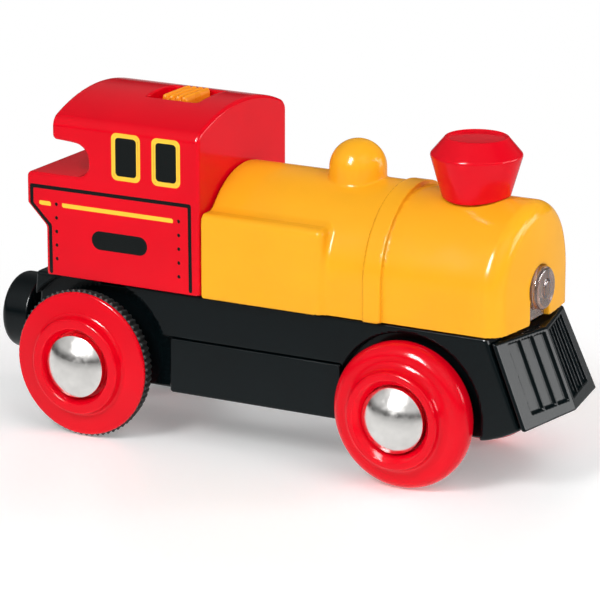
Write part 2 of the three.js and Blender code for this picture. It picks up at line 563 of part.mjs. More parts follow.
// The smokebox end: sections that shrink round its front edge, and a slightly bowed face.
const NOSE_ROUND = 2.4;
const BOW = 0.9;
function smokebox() {
  const points = boilerSection(FRONT_BOILER_R).map(([y, z]) => [BAND_X[1] - 0.5, y, z]);
  for (const degrees of [0, 30, 60, 90]) {
    const angle = THREE.MathUtils.degToRad(degrees);
    const inset = NOSE_ROUND * (1 - Math.cos(angle));
    const back = NOSE_ROUND * (1 - Math.sin(angle));
    for (const [y, z] of boilerSection(FRONT_BOILER_R - inset)) {
      points.push([BOILER_FRONT - back - BOW * (y / FRONT_BOILER_R) ** 2, y, z]);
    }
  }
  for (const y of [-8, -4, 0, 4, 8]) {
    const x = BOILER_FRONT - BOW * (y / FRONT_BOILER_R) ** 2;
    const top = BOILER_AXIS_Z + Math.sqrt((FRONT_BOILER_R - NOSE_ROUND) ** 2 - y * y);
    points.push([x, y, BOILER_BOTTOM], [x, y, top]);
  }
  return solid(new ConvexGeometry(points.map((p) => new THREE.Vector3(...p))));
}

const tankSide = [
  [BOILER_REAR, BOILER_BOTTOM], [TANK_FRONT, BOILER_BOTTOM], [TANK_FRONT, TANK_TOP - 1],
  [TANK_FRONT - 0.3, TANK_TOP - 0.3], [TANK_FRONT - 1, TANK_TOP], [BOILER_REAR, TANK_TOP],
];
const tankFront = mirrored([
  [CAB_HALF, BOILER_BOTTOM], [CAB_HALF, TANK_TOP - 1], [CAB_HALF - 0.3, TANK_TOP - 0.3],
  [CAB_HALF - 1, TANK_TOP]]);
const tanks = acrossY(tankSide, [-CAB_HALF, CAB_HALF]).intersect(alongX(tankFront, [-10, 20]));
const DOME_R = 4.4;
const DOME_TOP = 47.9;
const dome = turned([[0, 38], [DOME_R, 38],
  ...arc([0, DOME_TOP - DOME_R], DOME_R, 0, 90, 5).slice(0, -1), [0, DOME_TOP]], 'z', [DOME_X, 0], 20);

const boilerRoomOutline = [...arc([0, BOILER_AXIS_Z], 11.0, 0, 180, 12), [-11.0, 20], [11.0, 20]];
const boilerRoom = alongX(boilerRoomOutline, [-10, 40.7]);
const domeRoom = rod('z', DOME_R - 1.4, [36, 45], [DOME_X, 0]);
const LENS_R = 3.25;
const LENS_TAB_HALF = 3.0;
// A keyhole: the round lamp above and the straight sided tab below it.
function lensOutline(grow, low) {
  const half = LENS_TAB_HALF + grow;
  const meet = THREE.MathUtils.radToDeg(Math.acos(half / (LENS_R + grow)));
  return [...arc([0, LAMP_Z], LENS_R + grow, -meet, 180 + meet, 14), [-half, low], [half, low]];
}
const boilerPosts = BOILER_SCREWS.flatMap(([x, y]) => [
  screwPost([x, y], 33),
  box([x - 0.5, x + 0.5], y > 0 ? [y, 11.6] : [-11.6, y], [26, 33])]);
const CHIMNEY_SPIGOT_R = 2.0;
const boiler = cut(
  join(
    cut(
      join(alongX(boilerSection(REAR_R), [BOILER_REAR, BAND_X[0] + 0.5]),
        alongX(boilerSection(BAND_R), BAND_X), smokebox(), tanks, dome),
      boilerRoom, domeRoom),
    ...boilerPosts),
  alongX(lensOutline(0.2, 20), [38, 50]),
  rod('z', CHIMNEY_SPIGOT_R + 0.15, [36, 46], [CHIMNEY_X, 0]),
  ...BOILER_SCREWS.map(pilot),
);
place('boiler_shell', boiler, YELLOW);

// A diamond stack, saddled onto the smokebox and plugged into its hole.
const chimneyProfile = [
  [0, 37.5], [3.85, 37.5], [6.8, 47.55], [6.85, 47.9], [6.7, 48.25], [5.0, 50.2], [4.75, 50.45],
  [4.4, 50.5], [4.1, 50.3], [3.8, 49.7], [0, 49.6],
];
const saddle = alongX([...arc([0, BOILER_AXIS_Z], FRONT_BOILER_R + 0.12, 0, 180, 18),
  [-20, 20], [20, 20]], [20, 45]);
place('chimney', join(
  cut(turned(chimneyProfile, 'z', [CHIMNEY_X, 0], 24), saddle),
  rod('z', CHIMNEY_SPIGOT_R, [39.4, 43], [CHIMNEY_X, 0])), RED);

// ---------- headlight ----------
const LENS_X = { back: 40.95, tab: 41.65, face: 43.35, nose: 43.65 };
place('headlight_lens', join(
  alongX(lensOutline(0, DECK_Z + 0.3), [LENS_X.back - 0.1, LENS_X.tab]),
  box([LENS_X.back - 0.9, LENS_X.back - 0.35], [-4.3, 4.3], [DECK_Z + 0.3, LAMP_Z + 3.4])
    .add(box([LENS_X.back - 0.5, LENS_X.back], [-2.5, 2.5], [DECK_Z + 0.3, LAMP_Z + 2])),
  turned([[0, LENS_X.tab - 0.2], [LENS_R, LENS_X.tab - 0.2], [LENS_R, LENS_X.face - 0.6],
    [LENS_R - 0.2, LENS_X.face - 0.2], [LENS_R - 0.6, LENS_X.face], [1.7, LENS_X.face],
    [1.4, LENS_X.nose - 0.1], [0, LENS_X.nose]], 'x', [0, LAMP_Z], 20)), CLEAR);
place('headlight_led', turned([[0, 33.8], [1.9, 33.8], [1.9, 34.6], [1.5, 34.6], [1.5, 37.2],
  [1.1, 38.2], [0, 38.7]], 'x', [0, LAMP_Z], 16), LAMP);

// ---------- cowcatcher ----------
// A V shaped plough plate. Each half is a quad from its side edge to the centre ridge.
const PLOUGH = {
  sideTop: [40.75, 11.7, 23.3], midTop: [43.45, 0, 23.25],
  sideLow: [46.15, 12.4, 11.0], midLow: [LENGTH / 2, 0, 11.3],
};
const flipped = ([x, y, z]) => [x, -y, z];
const vector = (p) => new THREE.Vector3(...p);
const ploughBack = [[40.1, 11.7, 23.3], [45.45, 12.4, 11.0]];
const ploughPoints = [...Object.values(PLOUGH), ...ploughBack].flatMap((p) => [p, flipped(p)]);

// Slots run down each half. Across it 0 is the side edge and 1 the ridge; down it 0 is the top.
const SLOT = { across: [[0.22, 0.455], [0.48, 0.7], [0.725, 0.945]], top: 0.05, foot: 0.845,
  depth: 0.5, draft: 0.015 };
function ploughSlot(from, to, side) {
  const corner = (s, t) => {
    const top = vector(PLOUGH.sideTop).lerp(vector(PLOUGH.midTop), s);
    const low = vector(PLOUGH.sideLow).lerp(vector(PLOUGH.midLow), s);
    return top.lerp(low, t);
  };
  const across = vector(PLOUGH.midTop).sub(vector(PLOUGH.sideTop));
  const down = vector(PLOUGH.sideLow).sub(vector(PLOUGH.sideTop));
  const normal = across.cross(down).normalize();
  if (normal.x < 0) normal.negate();
  const ring = (inset, lift) => [
    [from + inset, SLOT.top + inset], [to - inset, SLOT.top + inset],
    [from + inset, SLOT.foot - inset], [to - inset, SLOT.foot - inset],
  ].map(([s, t]) => corner(s, t).addScaledVector(normal, lift));
  const points = [...ring(0, 0.05), ...ring(SLOT.draft, -SLOT.depth)];
  for (const p of points) p.y *= side;
  return solid(new ConvexGeometry(points));
}

const slots = [-1, 1].flatMap((side) => (
  SLOT.across.map(([from, to]) => ploughSlot(from, to, side))));
place('cowcatcher', cut(join(
  solid(new ConvexGeometry(ploughPoints.map(vector))),
  ...PEGS.map((y) => rod('x', 1.2, [38.0, 43.0], [y, 17.5], 14))), ...slots), BLACK);

// ---------- rear magnetic coupling ----------
// The magnet's flange is caught behind the drum's lip, where it can turn freely.
const MAGNET = { flange: 4.5, pole: 3.9, tip: 2.4, face: -LENGTH / 2 };
const POCKET = { mouth: -46.9, back: -43.9 };
place('coupling_drum', turned([
  [RIVET_R + FIT, DRUM.front], [DRUM.r - 0.3, DRUM.front], [DRUM.r, DRUM.front - 0.3],
  ...arc([DRUM.r - DRUM.round, DRUM.rear + DRUM.round], DRUM.round, 0, -90, 3),
  [MAGNET.pole + 0.25, DRUM.rear], [MAGNET.pole + 0.25, POCKET.mouth],
  [MAGNET.flange + 0.25, POCKET.mouth], [MAGNET.flange + 0.25, POCKET.back],
  [RIVET_R + FIT, POCKET.back], [RIVET_R + FIT, DRUM.front],
], 'x', [0, DRUM.z], 24), BLACK);
place('coupling_magnet', turned([
  [0, POCKET.back - 1.0], [MAGNET.flange, POCKET.back - 1.0], [MAGNET.flange, POCKET.mouth + 0.2],
  [MAGNET.pole, POCKET.mouth + 0.2], [MAGNET.pole, DRUM.rear - 0.2], [3.3, DRUM.rear - 0.8],
  [MAGNET.tip, MAGNET.face], [0, MAGNET.face],
], 'x', [0, DRUM.z], 20), MAGNET_GREY);
place('coupling_rivet', turned([
  [0, POCKET.back - 0.7], [1.4, POCKET.back - 0.7], [1.9, POCKET.back - 0.4],
  [1.9, POCKET.back - 0.05], [RIVET_R, POCKET.back - 0.05], [RIVET_R, -38.6], [0, -38.6],
], 'x', [0, DRUM.z], 12), STEEL);

// ---------- battery and contacts ----------
place('battery_cell', turned([[0, CELL.rear], [CELL.r, CELL.rear], [CELL.r, CELL.shoulder],
  [1.9, CELL.shoulder], [1.9, CELL.nub], [0, CELL.nub]], 'x', [0, CELL.z], 24), CELL_LABEL);
const CONTACT = { half: 4.5, z: [10.5, 19.6] };
place('positive_contact', box([23.45, 23.85], [-CONTACT.half, CONTACT.half], CONTACT.z), BRASS);
place('negative_contact', box([-24.2, -23.85], [-CONTACT.half, CONTACT.half], CONTACT.z), BRASS);

class Coil extends THREE.Curve {
  getPoint(t, target = new THREE.Vector3()) {
    const angle = 2 * Math.PI * 3 * t;
    const radius = 3.6 - 1.2 * t;
    return target.set(-23.45 + 1.85 * t, radius * Math.cos(angle), CELL.z + radius * Math.sin(angle));
  }
}

function wire(path, radius, steps, sides) {
  const round = outline(arc([0, 0], radius, 0, 360 - 360 / sides, sides - 1));
  return solid(new THREE.ExtrudeGeometry(round, { extrudePath: path, steps, bevelEnabled: false }));
}
place('contact_spring', wire(new Coil(), 0.28, 36, 5), STEEL);

const route = (...stops) => new THREE.CatmullRomCurve3(stops.map(vector), false, 'centripetal');
const WIRE_R = 0.45;
const underBoard = BOARD_Z[0] - 0.3;
const wires = [
  ['lamp_wire_a', WIRE_RED, route([33.3, 0.9, 29.05], [20, 0.9, 31], [0, 0.9, 34], [-8.5, 0.9, 35],
    [-9.9, 0.9, 37], [-10, 0.9, underBoard])],
  ['lamp_wire_b', WIRE_BLACK, route([33.3, -0.9, 29.05], [20, -0.9, 31], [0, -0.9, 34],
    [-8.5, -0.9, 35], [-9.9, -0.9, 37], [-10, -0.9, underBoard])],
  ['battery_wire_positive', WIRE_RED, route([22.3, 3, 20.1], [22.3, 3, 25], [10, 3, 29],
    [-6, 3, 32], [-9.6, 3, 35], [-10, 3, underBoard])],
  ['battery_wire_negative', WIRE_BLACK, route([-12.3, -3, 20.1], [-12.3, -3, 30],
    [-11.8, -3, underBoard])],
  ['motor_wire_a', WIRE_RED, route([motorX - 2.5, -11.0, motorZ], [motorX - 2.5, -11.0, underBoard])],
  ['motor_wire_b', WIRE_BLACK, route([motorX + 2.5, -11.0, motorZ], [motorX + 2.5, -11.0, underBoard])],
];
for (const [name, material, path] of wires) {
  const steps = name.startsWith('motor') ? 1 : 14;
  place(name, wire(path, WIRE_R, steps, 5), material);
}

export default locomotive;
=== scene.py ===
"""The looks of a battery driven toy steam engine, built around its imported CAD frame.

Lengths are millimetres in the CAD frame, unless a comment says otherwise: +X forward, +Y the engine's left,
+Z up.
Moulded shapes are signed distance fields, negative inside, that are turned into dense smooth meshes.
Turned shapes are profiles swept about their axis.
"""

import json
import math

import bpy
import numpy as np
from mathutils import Matrix, Vector


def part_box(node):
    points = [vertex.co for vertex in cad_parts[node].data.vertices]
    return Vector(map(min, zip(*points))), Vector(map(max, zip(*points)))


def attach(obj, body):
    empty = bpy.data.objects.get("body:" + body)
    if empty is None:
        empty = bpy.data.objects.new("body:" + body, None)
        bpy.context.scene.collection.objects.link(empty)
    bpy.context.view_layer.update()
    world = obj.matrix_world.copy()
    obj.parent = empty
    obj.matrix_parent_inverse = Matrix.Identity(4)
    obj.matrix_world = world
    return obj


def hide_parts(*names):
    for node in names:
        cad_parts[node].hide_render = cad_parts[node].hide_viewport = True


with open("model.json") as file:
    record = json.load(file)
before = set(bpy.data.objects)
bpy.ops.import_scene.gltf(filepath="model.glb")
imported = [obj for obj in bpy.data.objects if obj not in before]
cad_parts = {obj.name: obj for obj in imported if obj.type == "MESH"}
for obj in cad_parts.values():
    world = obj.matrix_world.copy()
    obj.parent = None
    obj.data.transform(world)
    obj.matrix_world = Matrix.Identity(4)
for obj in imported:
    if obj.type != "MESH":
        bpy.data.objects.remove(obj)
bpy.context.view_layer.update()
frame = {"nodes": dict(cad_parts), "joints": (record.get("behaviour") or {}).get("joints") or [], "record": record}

MM = 0.001
GAP = 0.3            # clearance between separate mouldings
SEAM = 0.14          # the part of it that shows round the battery door
FIT = 0.08           # radial clearance of a shaft in its hole
PAST = 9             # how far an outline runs past a part, where another shape cuts it off
DEEP = -20           # a lower bound for a distance from the middle plane, which cuts nothing
SCREW_HEAD_R = 2.2   # hole for a body screw's head
SHANK_HOLE_R = 1.15
BEARING_Y = 11       # how far out the axles' holes run
PEG_Y = 7            # the two pegs that hold the plough in the chassis
PEG_Z = 17.5
NORMAL_STEP = 0.02   # how far apart a field is read to find its slope
MAX_PULL = 0.7       # how far a vertex may be drawn to the surface, in cells
MIN_SLOPE = 0.05     # keeps flat spots of a field from throwing a vertex far off


# ---------- where things are, read from the frame ----------
class Span:
    """The box of a CAD node, in millimetres."""

    def __init__(self, node):
        low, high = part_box(node)
        self.low = self.x0, self.y0, self.z0 = tuple(v / MM for v in low)
        self.high = self.x1, self.y1, self.z1 = tuple(v / MM for v in high)
        self.x, self.y, self.z = (v / MM for v in (low + high) / 2)


JOINTS = {joint["name"]: joint for joint in frame["joints"]}


def joint_place(name):
    return [v / MM for v in JOINTS[name]["pos_m"]]


CAB = Span("cab_shell")
BOILER = Span("boiler_shell")
CHIMNEY = Span("chimney")
CHASSIS = Span("chassis_frame")
DOOR = Span("battery_door")
PLOUGH = Span("cowcatcher")
LENS = Span("headlight_lens")
DRUM = Span("coupling_drum")
MAGNET = Span("coupling_magnet")
BUTTON = Span("switch_button")
MOTOR = Span("motor_can")
AXLE_COVER = Span("front_axle_cover")
REAR_AXLE = joint_place("rear_axle_spin")
FRONT_AXLE = joint_place("front_axle_spin")
GEAR_SHAFTS = [joint_place("lower_gear_spin"), joint_place("upper_gear_spin")]
AXLE_R = (Span("front_axle").z1 - Span("front_axle").z0) / 2
SWITCH_TRAVEL = JOINTS["switch_slide"]["range_m"][1] / MM
CAB_SCREWS = [Span("cab_screw_1"), Span("cab_screw_2")]
BOILER_SCREWS = [Span("boiler_screw_1"), Span("boiler_screw_2")]
BOILER_AXIS_Z = 29.4


# ---------- signed distance fields ----------
def both(a, b, r=0.0):
    """Where two solids meet, with the edge between them rounded."""
    if r == 0:
        return np.maximum(a, b)
    corner = np.hypot(np.maximum(a + r, 0), np.maximum(b + r, 0))
    return np.minimum(-r, np.maximum(a, b)) + corner


def either(a, b, r=0.0):
    """Two solids joined, with a fillet between them."""
    return -both(-a, -b, r)


def less(a, b, r=0.0):
    """The first solid with the second cut away, and the cut's edge rounded."""
    return both(a, -b, r)


def between(v, low, high):
    return np.abs(v - (low + high) / 2) - (high - low) / 2


def block(x, y, z, xs, ys, zs, r=0.0):
    return both(both(between(x, *xs), between(y, *ys), r), between(z, *zs), r)


def rod(u, v, centre, radius):
    return np.hypot(u - centre[0], v - centre[1]) - radius


def capsule(u, v, start, end, radius):
    """A flat shape: everything within a radius of a line."""
    du, dv = end[0] - start[0], end[1] - start[1]
    along = ((u - start[0]) * du + (v - start[1]) * dv) / (du * du + dv * dv)
    along = np.clip(along, 0, 1)
    return np.hypot(u - start[0] - along * du, v - start[1] - along * dv) - radius


def inside_outline(u, v, points):
    """Signed distance to a closed outline in a plane."""
    nearest = np.full(np.broadcast(u, v).shape, np.inf)
    inside = np.zeros(nearest.shape, bool)
    for (a, b), (c, d) in zip(points, np.roll(points, -1, axis=0)):
        eu, ev = c - a, d - b
        wu, wv = u - a, v - b
        t = np.clip((wu * eu + wv * ev) / (eu * eu + ev * ev), 0, 1)
        nearest = np.minimum(nearest, (wu - t * eu) ** 2 + (wv - t * ev) ** 2)
        if ev != 0:
            crosses = (b > v) != (d > v)
            inside ^= crosses & ((wu * ev < wv * eu) == (ev > 0))
    return np.where(inside, -1, 1) * np.sqrt(nearest)


def rounded(corners, closed=True, turn_step=9.0):
    """The points and right-hand normals of an outline of (a, b, radius) corners."""
    corners = [np.array(c, float) for c in corners]
    count = len(corners)
    points, normals = [], []
    for i, corner in enumerate(corners):
        here, radius = corner[:2], corner[2]
        before, after = corners[i - 1][:2], corners[(i + 1) % count][:2]
        if not closed and i == 0:
            before = 2 * here - after
        if not closed and i == count - 1:
            after = 2 * here - before
        arrive = (here - before) / np.linalg.norm(here - before)
        leave = (after - here) / np.linalg.norm(after - here)
        cross = arrive[0] * leave[1] - arrive[1] * leave[0]
        turn = math.atan2(cross, arrive @ leave)
        heading = math.atan2(arrive[1], arrive[0])
        steps = 0 if radius == 0 else max(1, round(abs(math.degrees(turn)) / turn_step))
        if steps == 0:
            angle = heading + turn / 2
            points.append(here)
            normals.append((math.sin(angle), -math.cos(angle)))
            continue
        side = math.copysign(radius, turn)
        start = here - arrive * radius * math.tan(abs(turn) / 2)
        centre = start + side * np.array([-arrive[1], arrive[0]])
        for k in range(steps + 1):
            angle = heading + turn * k / steps
            normal = np.array([math.sin(angle), -math.cos(angle)])
            points.append(centre + side * normal)
            normals.append(normal)
    return np.array(points), np.array(normals)


# ---------- meshes ----------
def make_mesh(name, points, faces, normals=None):
    """A mesh in metres, shaded smooth, with its faces turned to the side the normals point to."""
    mesh = bpy.data.meshes.new(name)
    if normals is not None:
        a, b, c = (points[[f[k] for f in faces]] for k in (0, 1, 2))
        facing = np.cross(b - a, c - a)
        if (facing * normals[[f[0] for f in faces]]).sum() < 0:
            faces = [list(f)[::-1] for f in faces]
    mesh.from_pydata((points * MM).tolist(), [], [list(f) for f in faces])
    mesh.validate()
    mesh.shade_smooth()
    if normals is not None and len(mesh.vertices) == len(points):
        mesh.normals_split_custom_set_from_vertices(normals.tolist())
    made = bpy.data.objects.new(name, mesh)
    bpy.context.scene.collection.objects.link(made)
    return made


CORNERS = np.array([(i, j, k) for i in (0, 1) for j in (0, 1) for k in (0, 1)])
EDGES = [(a, b) for a in CORNERS for b in CORNERS if (b - a).sum() == 1 and ((b - a) >= 0).all()]


def slope(field, points):
    """The direction in which a field grows at each point, read at the corners of a tetrahedron."""
    total = np.zeros_like(points)
    for arm in ((1, 1, 1), (1, -1, -1), (-1, 1, -1), (-1, -1, 1)):
        probe = points + np.array(arm) * NORMAL_STEP
        total += np.outer(field(*probe.T), arm)
    return total / (4 * NORMAL_STEP)


def sculpt(name, field, low, high, step):
    """A solid from its field: one vertex in each crossed cell, drawn onto the surface."""
    step *= 1
    axes = [np.arange(a - 2 * step, b + 3 * step, step) for a, b in zip(low, high)]
    grid = np.meshgrid(*axes, indexing="ij", sparse=True)
    shape = [len(a) for a in axes]
    values = np.broadcast_to(field(*grid), shape).astype(np.float32)
    inside = values < 0
    cell_shape = tuple(n - 1 for n in shape)
    count = np.zeros(cell_shape, np.int8)
    for corner in CORNERS:
        window = tuple(slice(c, c + n) for c, n in zip(corner, cell_shape))
        count += inside[window]
    crossed = (count > 0) & (count < 8)
    cells = np.argwhere(crossed)
    number = np.full(cell_shape, -1)
    number[crossed] = np.arange(len(cells))
    total = np.zeros((len(cells), 3))
    hits = np.zeros(len(cells))
    for a, b in EDGES:
        va = values[tuple((cells + a).T)]
        vb = values[tuple((cells + b).T)]
        hit = (va < 0) != (vb < 0)
        share = va[hit] / (va[hit] - vb[hit])
        total[hit] += a + share[:, None] * (b - a)
        hits[hit] += 1
    origin = np.array([a[0] for a in axes])
    points = origin + (cells + total / hits[:, None]) * step
    for _ in range(2):
        grow = slope(field, points)
        move = field(*points.T)[:, None] * grow / np.maximum((grow ** 2).sum(1), MIN_SLOPE)[:, None]
        points -= np.clip(move, -MAX_PULL * step, MAX_PULL * step)
    faces = []
    for axis in range(3):
        one = np.eye(3, dtype=int)[axis]
        side_a, side_b = np.eye(3, dtype=int)[[(axis + 1) % 3, (axis + 2) % 3]]
        first = inside[tuple(slice(0, n - d) for n, d in zip(shape, one))]
        second = inside[tuple(slice(d, n) for n, d in zip(shape, one))]
        for flip, mask in ((False, first & ~second), (True, ~first & second)):
            at = np.argwhere(mask)
            ring = [at - side_a - side_b, at - side_b, at, at - side_a]
            quads = np.stack([number[tuple(r.T)] for r in ring], axis=1)
            faces.append(quads[:, ::-1] if flip else quads)
    normals = slope(field, points)
    normals /= np.maximum(np.linalg.norm(normals, axis=1), 1e-6)[:, None]
    return make_mesh(name, points, np.concatenate(faces), normals)


def turned(name, profile, axis, centre, sign=1, segments=112, shape=None):
    """A rounded (radius, height, rounding) profile swept about an axis through centre.

    Heights run along the axis, times sign. A profile starts and ends on the axis, or is closed.
    shape(points) may move the swept points.
    """
    closed = min(p[0] for p in profile) > 0
    area = sum(p[0] * q[1] - q[0] * p[1] for p, q in zip(profile, profile[1:] + profile[:1]))
    if area < 0:
        profile = profile[::-1]
    flat, flat_normals = rounded(profile, closed=closed)
    along = Vector([1.0 if axis == a else 0.0 for a in "xyz"]) * sign
    side = along.orthogonal().normalized()
    frame_axes = np.array([side, along.cross(side), along])
    angles = np.arange(segments) * 2 * math.pi / segments
    spokes = np.stack([np.cos(angles), np.sin(angles)], axis=1)
    points, normals, rings = [], [], []
    for (radius, height), (out, up) in zip(flat, flat_normals):
        if radius < 1e-6:
            rings.append([len(points)])
            points.append((0, 0, height))
            normals.append((0, 0, math.copysign(1, up)))
            continue
        rings.append(range(len(points), len(points) + segments))
        points.extend((radius * c, radius * s, height) for c, s in spokes)
        normals.extend((out * c, out * s, up) for c, s in spokes)
    faces = []
    pairs = list(zip(rings, rings[1:])) + ([(rings[-1], rings[0])] if closed else [])
    for a, b in pairs:
        for i in range(segments):
            j = (i + 1) % segments
            corner = [a[i % len(a)], a[j % len(a)], b[j % len(b)], b[i % len(b)]]
            faces.append(list(dict.fromkeys(corner)))
    points = np.array(points) @ frame_axes + np.array(centre)
    normals = np.array(normals) @ frame_axes
    if shape:
        points = shape(points)
    return make_mesh(name, points, faces, normals)


# ---------- materials ----------
def node(tree, kind, settings=None, **inputs):
    """A shader node. Inputs are values, or sockets to link from."""
    made = tree.nodes.new("ShaderNode" + kind)
    for key, value in (settings or {}).items():
        setattr(made, key, value)
    for key, value in inputs.items():
        socket = made.inputs[int(key[3:])] if key.startswith("in_") else made.inputs[key.replace("_", " ")]
        if isinstance(value, bpy.types.NodeSocket):
            tree.links.new(value, socket)
        else:
            socket.default_value = value
    return made


def noise(tree, size, detail=2.0, stretch=(1, 1, 1)):
    """Noise whose features are about size millimetres across."""
    where = node(tree, "TexCoord").outputs["Object"]
    if stretch != (1, 1, 1):
        where = node(tree, "Mapping", Vector=where, Scale=stretch).outputs[0]
    made = node(tree, "TexNoise", Vector=where, Scale=1 / (size * MM), Detail=detail)
    return made.outputs["Fac"]


def ranged(tree, value, low, high, to_low, to_high):
    made = node(tree, "MapRange", Value=value, From_Min=low, From_Max=high, To_Min=to_low, To_Max=to_high)
    return made.outputs["Result"]


def mixed(tree, share, a, b):
    """Two colours mixed by share, which runs from 0 to 1."""
    made = node(tree, "Mix", {"data_type": "RGBA"}, Factor=share)
    for socket, value in ((made.inputs[6], a), (made.inputs[7], b)):
        if isinstance(value, bpy.types.NodeSocket):
            tree.links.new(value, socket)
        else:
            socket.default_value = (*value, 1)
    return made.outputs[2]


def shaded(colour, factor):
    return tuple(min(1.0, c * factor) for c in colour)


def new_material(name):
    made = bpy.data.materials.new(name)
    made.use_nodes = True
    tree = made.node_tree
    return made, tree, tree.nodes["Principled BSDF"]


def finish_surface(tree, surface, colour, roughness, bump=None, **others):
    """Joins colour, roughness and bump sockets or values to the surface shader."""
    sockets = {"Base Color": colour, "Roughness": roughness, **others}
    if bump:
        height, strength, distance = bump
        made = node(tree, "Bump", Strength=strength, Distance=distance * MM, Height=height)
        sockets["Normal"] = made.outputs[0]
    for key, value in sockets.items():
        if isinstance(value, bpy.types.NodeSocket):
            tree.links.new(value, surface.inputs[key])
        elif key == "Base Color":
            surface.inputs[key].default_value = (*value, 1)
        else:
            surface.inputs[key].default_value = value


def moulded_plastic(name, colour, roughness, spread=0.05, grain=0.25):
    """Glossy injection moulded plastic: faint flow clouds, handling marks and a soft skin texture."""
    made, tree, surface = new_material(name)
    cloud = ranged(tree, noise(tree, 14.0), 0.3, 0.7, 0, 1)
    paint = mixed(tree, cloud, shaded(colour, 1 - spread), shaded(colour, 1 + spread))
    rubbed = ranged(tree, noise(tree, 5.0, 4.0), 0.3, 0.75, roughness * 0.8, roughness * 1.35)
    skin = noise(tree, grain, 2.0)
    finish_surface(tree, surface, paint, rubbed, (skin, 0.05, 0.02), **{"Specular IOR Level": SHEEN})
    return made


def ribbed_rubber(name):
    made, tree, surface = new_material(name)
    cloud = ranged(tree, noise(tree, 3.0, 4.0), 0.3, 0.7, 0, 1)
    paint = mixed(tree, cloud, (0.012, 0.013, 0.013), (0.03, 0.031, 0.03))
    rough = ranged(tree, noise(tree, 0.8, 3.0), 0.3, 0.7, 0.55, 0.8)
    finish_surface(tree, surface, paint, rough, (noise(tree, 0.12, 3.0), 0.3, 0.03))
    return made


def metal(name, colour, roughness, scratch=0.25, stretch=(1, 1, 1), dark=0.75):
    """Plated or drawn metal with fine marks that are long in one direction."""
    made, tree, surface = new_material(name)
    cloud = ranged(tree, noise(tree, 2.5, 5.0), 0.35, 0.7, 0, 1)
    paint = mixed(tree, cloud, shaded(colour, dark), colour)
    rough = ranged(tree, noise(tree, 0.9, 6.0, stretch), 0.3, 0.75, roughness * 0.7, roughness * 1.6)
    finish_surface(tree, surface, paint, rough, (noise(tree, 0.35, 4.0, stretch), scratch, 0.01),
                   Metallic=1.0)
    return made


def clear_plastic(name, tint, roughness, clear):
    made, tree, surface = new_material(name)
    rough = ranged(tree, noise(tree, 1.5), 0.3, 0.7, roughness, roughness * 2)
    finish_surface(tree, surface, tint, rough, IOR=1.49,
                   **{"Transmission Weight": clear, "Specular IOR Level": 1.0, "Coat Weight": 1.0})
    return made


def gear_plastic(name, colour):
    made, tree, surface = new_material(name)
    cloud = ranged(tree, noise(tree, 4.0, 3.0), 0.3, 0.7, 0, 1)
    paint = mixed(tree, cloud, shaded(colour, 0.92), colour)
    rough = ranged(tree, noise(tree, 1.0), 0.3, 0.7, 0.4, 0.55)
    finish_surface(tree, surface, paint, rough, (noise(tree, 0.2), 0.08, 0.02))
    return made


def board(name):
    """Glass fibre sheet under green resist: a faint square weave."""
    made, tree, surface = new_material(name)
    weave = node(tree, "TexChecker", Vector=node(tree, "TexCoord").outputs["Object"], Scale=1 / (0.6 * MM))
    paint = mixed(tree, weave.outputs["Fac"], (0.02, 0.16, 0.06), (0.03, 0.2, 0.075))
    finish_surface(tree, surface, paint, 0.35, (noise(tree, 0.5), 0.1, 0.02))
    return made


SHEEN = 0.22         # how strongly the plastics mirror the room
PRINT_EDGE = 0.03    # half the width, in mm, over which a printed edge turns into plastic
RED = (0.75, 0.0005, 0.011)
YELLOW = (0.95, 0.43, 0.016)
BLACK = (0.002, 0.005, 0.006)
PRINT_YELLOW = (1.0, 0.60, 0.05)
PRINT_BLACK = (0.004, 0.006, 0.006)
PRINT_LINE = (0.62, 0.30, 0.02)

MATERIALS = {
    "red_plastic": moulded_plastic("red_moulded_plastic", RED, 0.13),
    "yellow_plastic": moulded_plastic("yellow_moulded_plastic", YELLOW, 0.15, spread=0.04),
    "black_plastic": moulded_plastic("black_moulded_plastic", BLACK, 0.16, spread=0.15),
    "tyre_rubber": ribbed_rubber("ribbed_rubber"),
    "axle_steel": metal("drawn_steel", (0.6, 0.6, 0.6), 0.25, stretch=(1, 0.1, 1)),
    "screw_steel": metal("zinc_plate", (0.5, 0.51, 0.52), 0.32),
    "hub_nickel": metal("nickel_plate", (0.95, 0.93, 0.9), 0.17, scratch=0.3, dark=0.86),
    "can_steel": metal("plated_sheet_steel", (0.58, 0.58, 0.58), 0.3),
    "contact_brass": metal("sheet_brass", (0.72, 0.5, 0.2), 0.3),
    "winding_copper": metal("enamelled_copper", (0.7, 0.3, 0.14), 0.35, stretch=(1, 0.15, 1)),
    "gear_plastic": gear_plastic("natural_acetal", (0.8, 0.78, 0.7)),
    "switch_plastic": moulded_plastic("orange_moulded_plastic", (0.98, 0.33, 0.012), 0.28),
    "lens_clear": clear_plastic("clear_lens_plastic", (1.0, 0.78, 0.7), 0.03, 0.92),
    "led_clear": clear_plastic("cast_epoxy", (0.95, 0.92, 0.8), 0.1, 0.5),
    "board_green": board("green_circuit_board"),
    "cell_wrap": moulded_plastic("printed_cell_sleeve", (0.05, 0.12, 0.28), 0.25),
    "magnet_metal": metal("magnet_nickel", (0.45, 0.45, 0.46), 0.22),
    "wire_red": moulded_plastic("red_wire_sleeve", (0.4, 0.01, 0.01), 0.45),
    "wire_black": moulded_plastic("black_wire_sleeve", (0.02, 0.02, 0.02), 0.45),
}


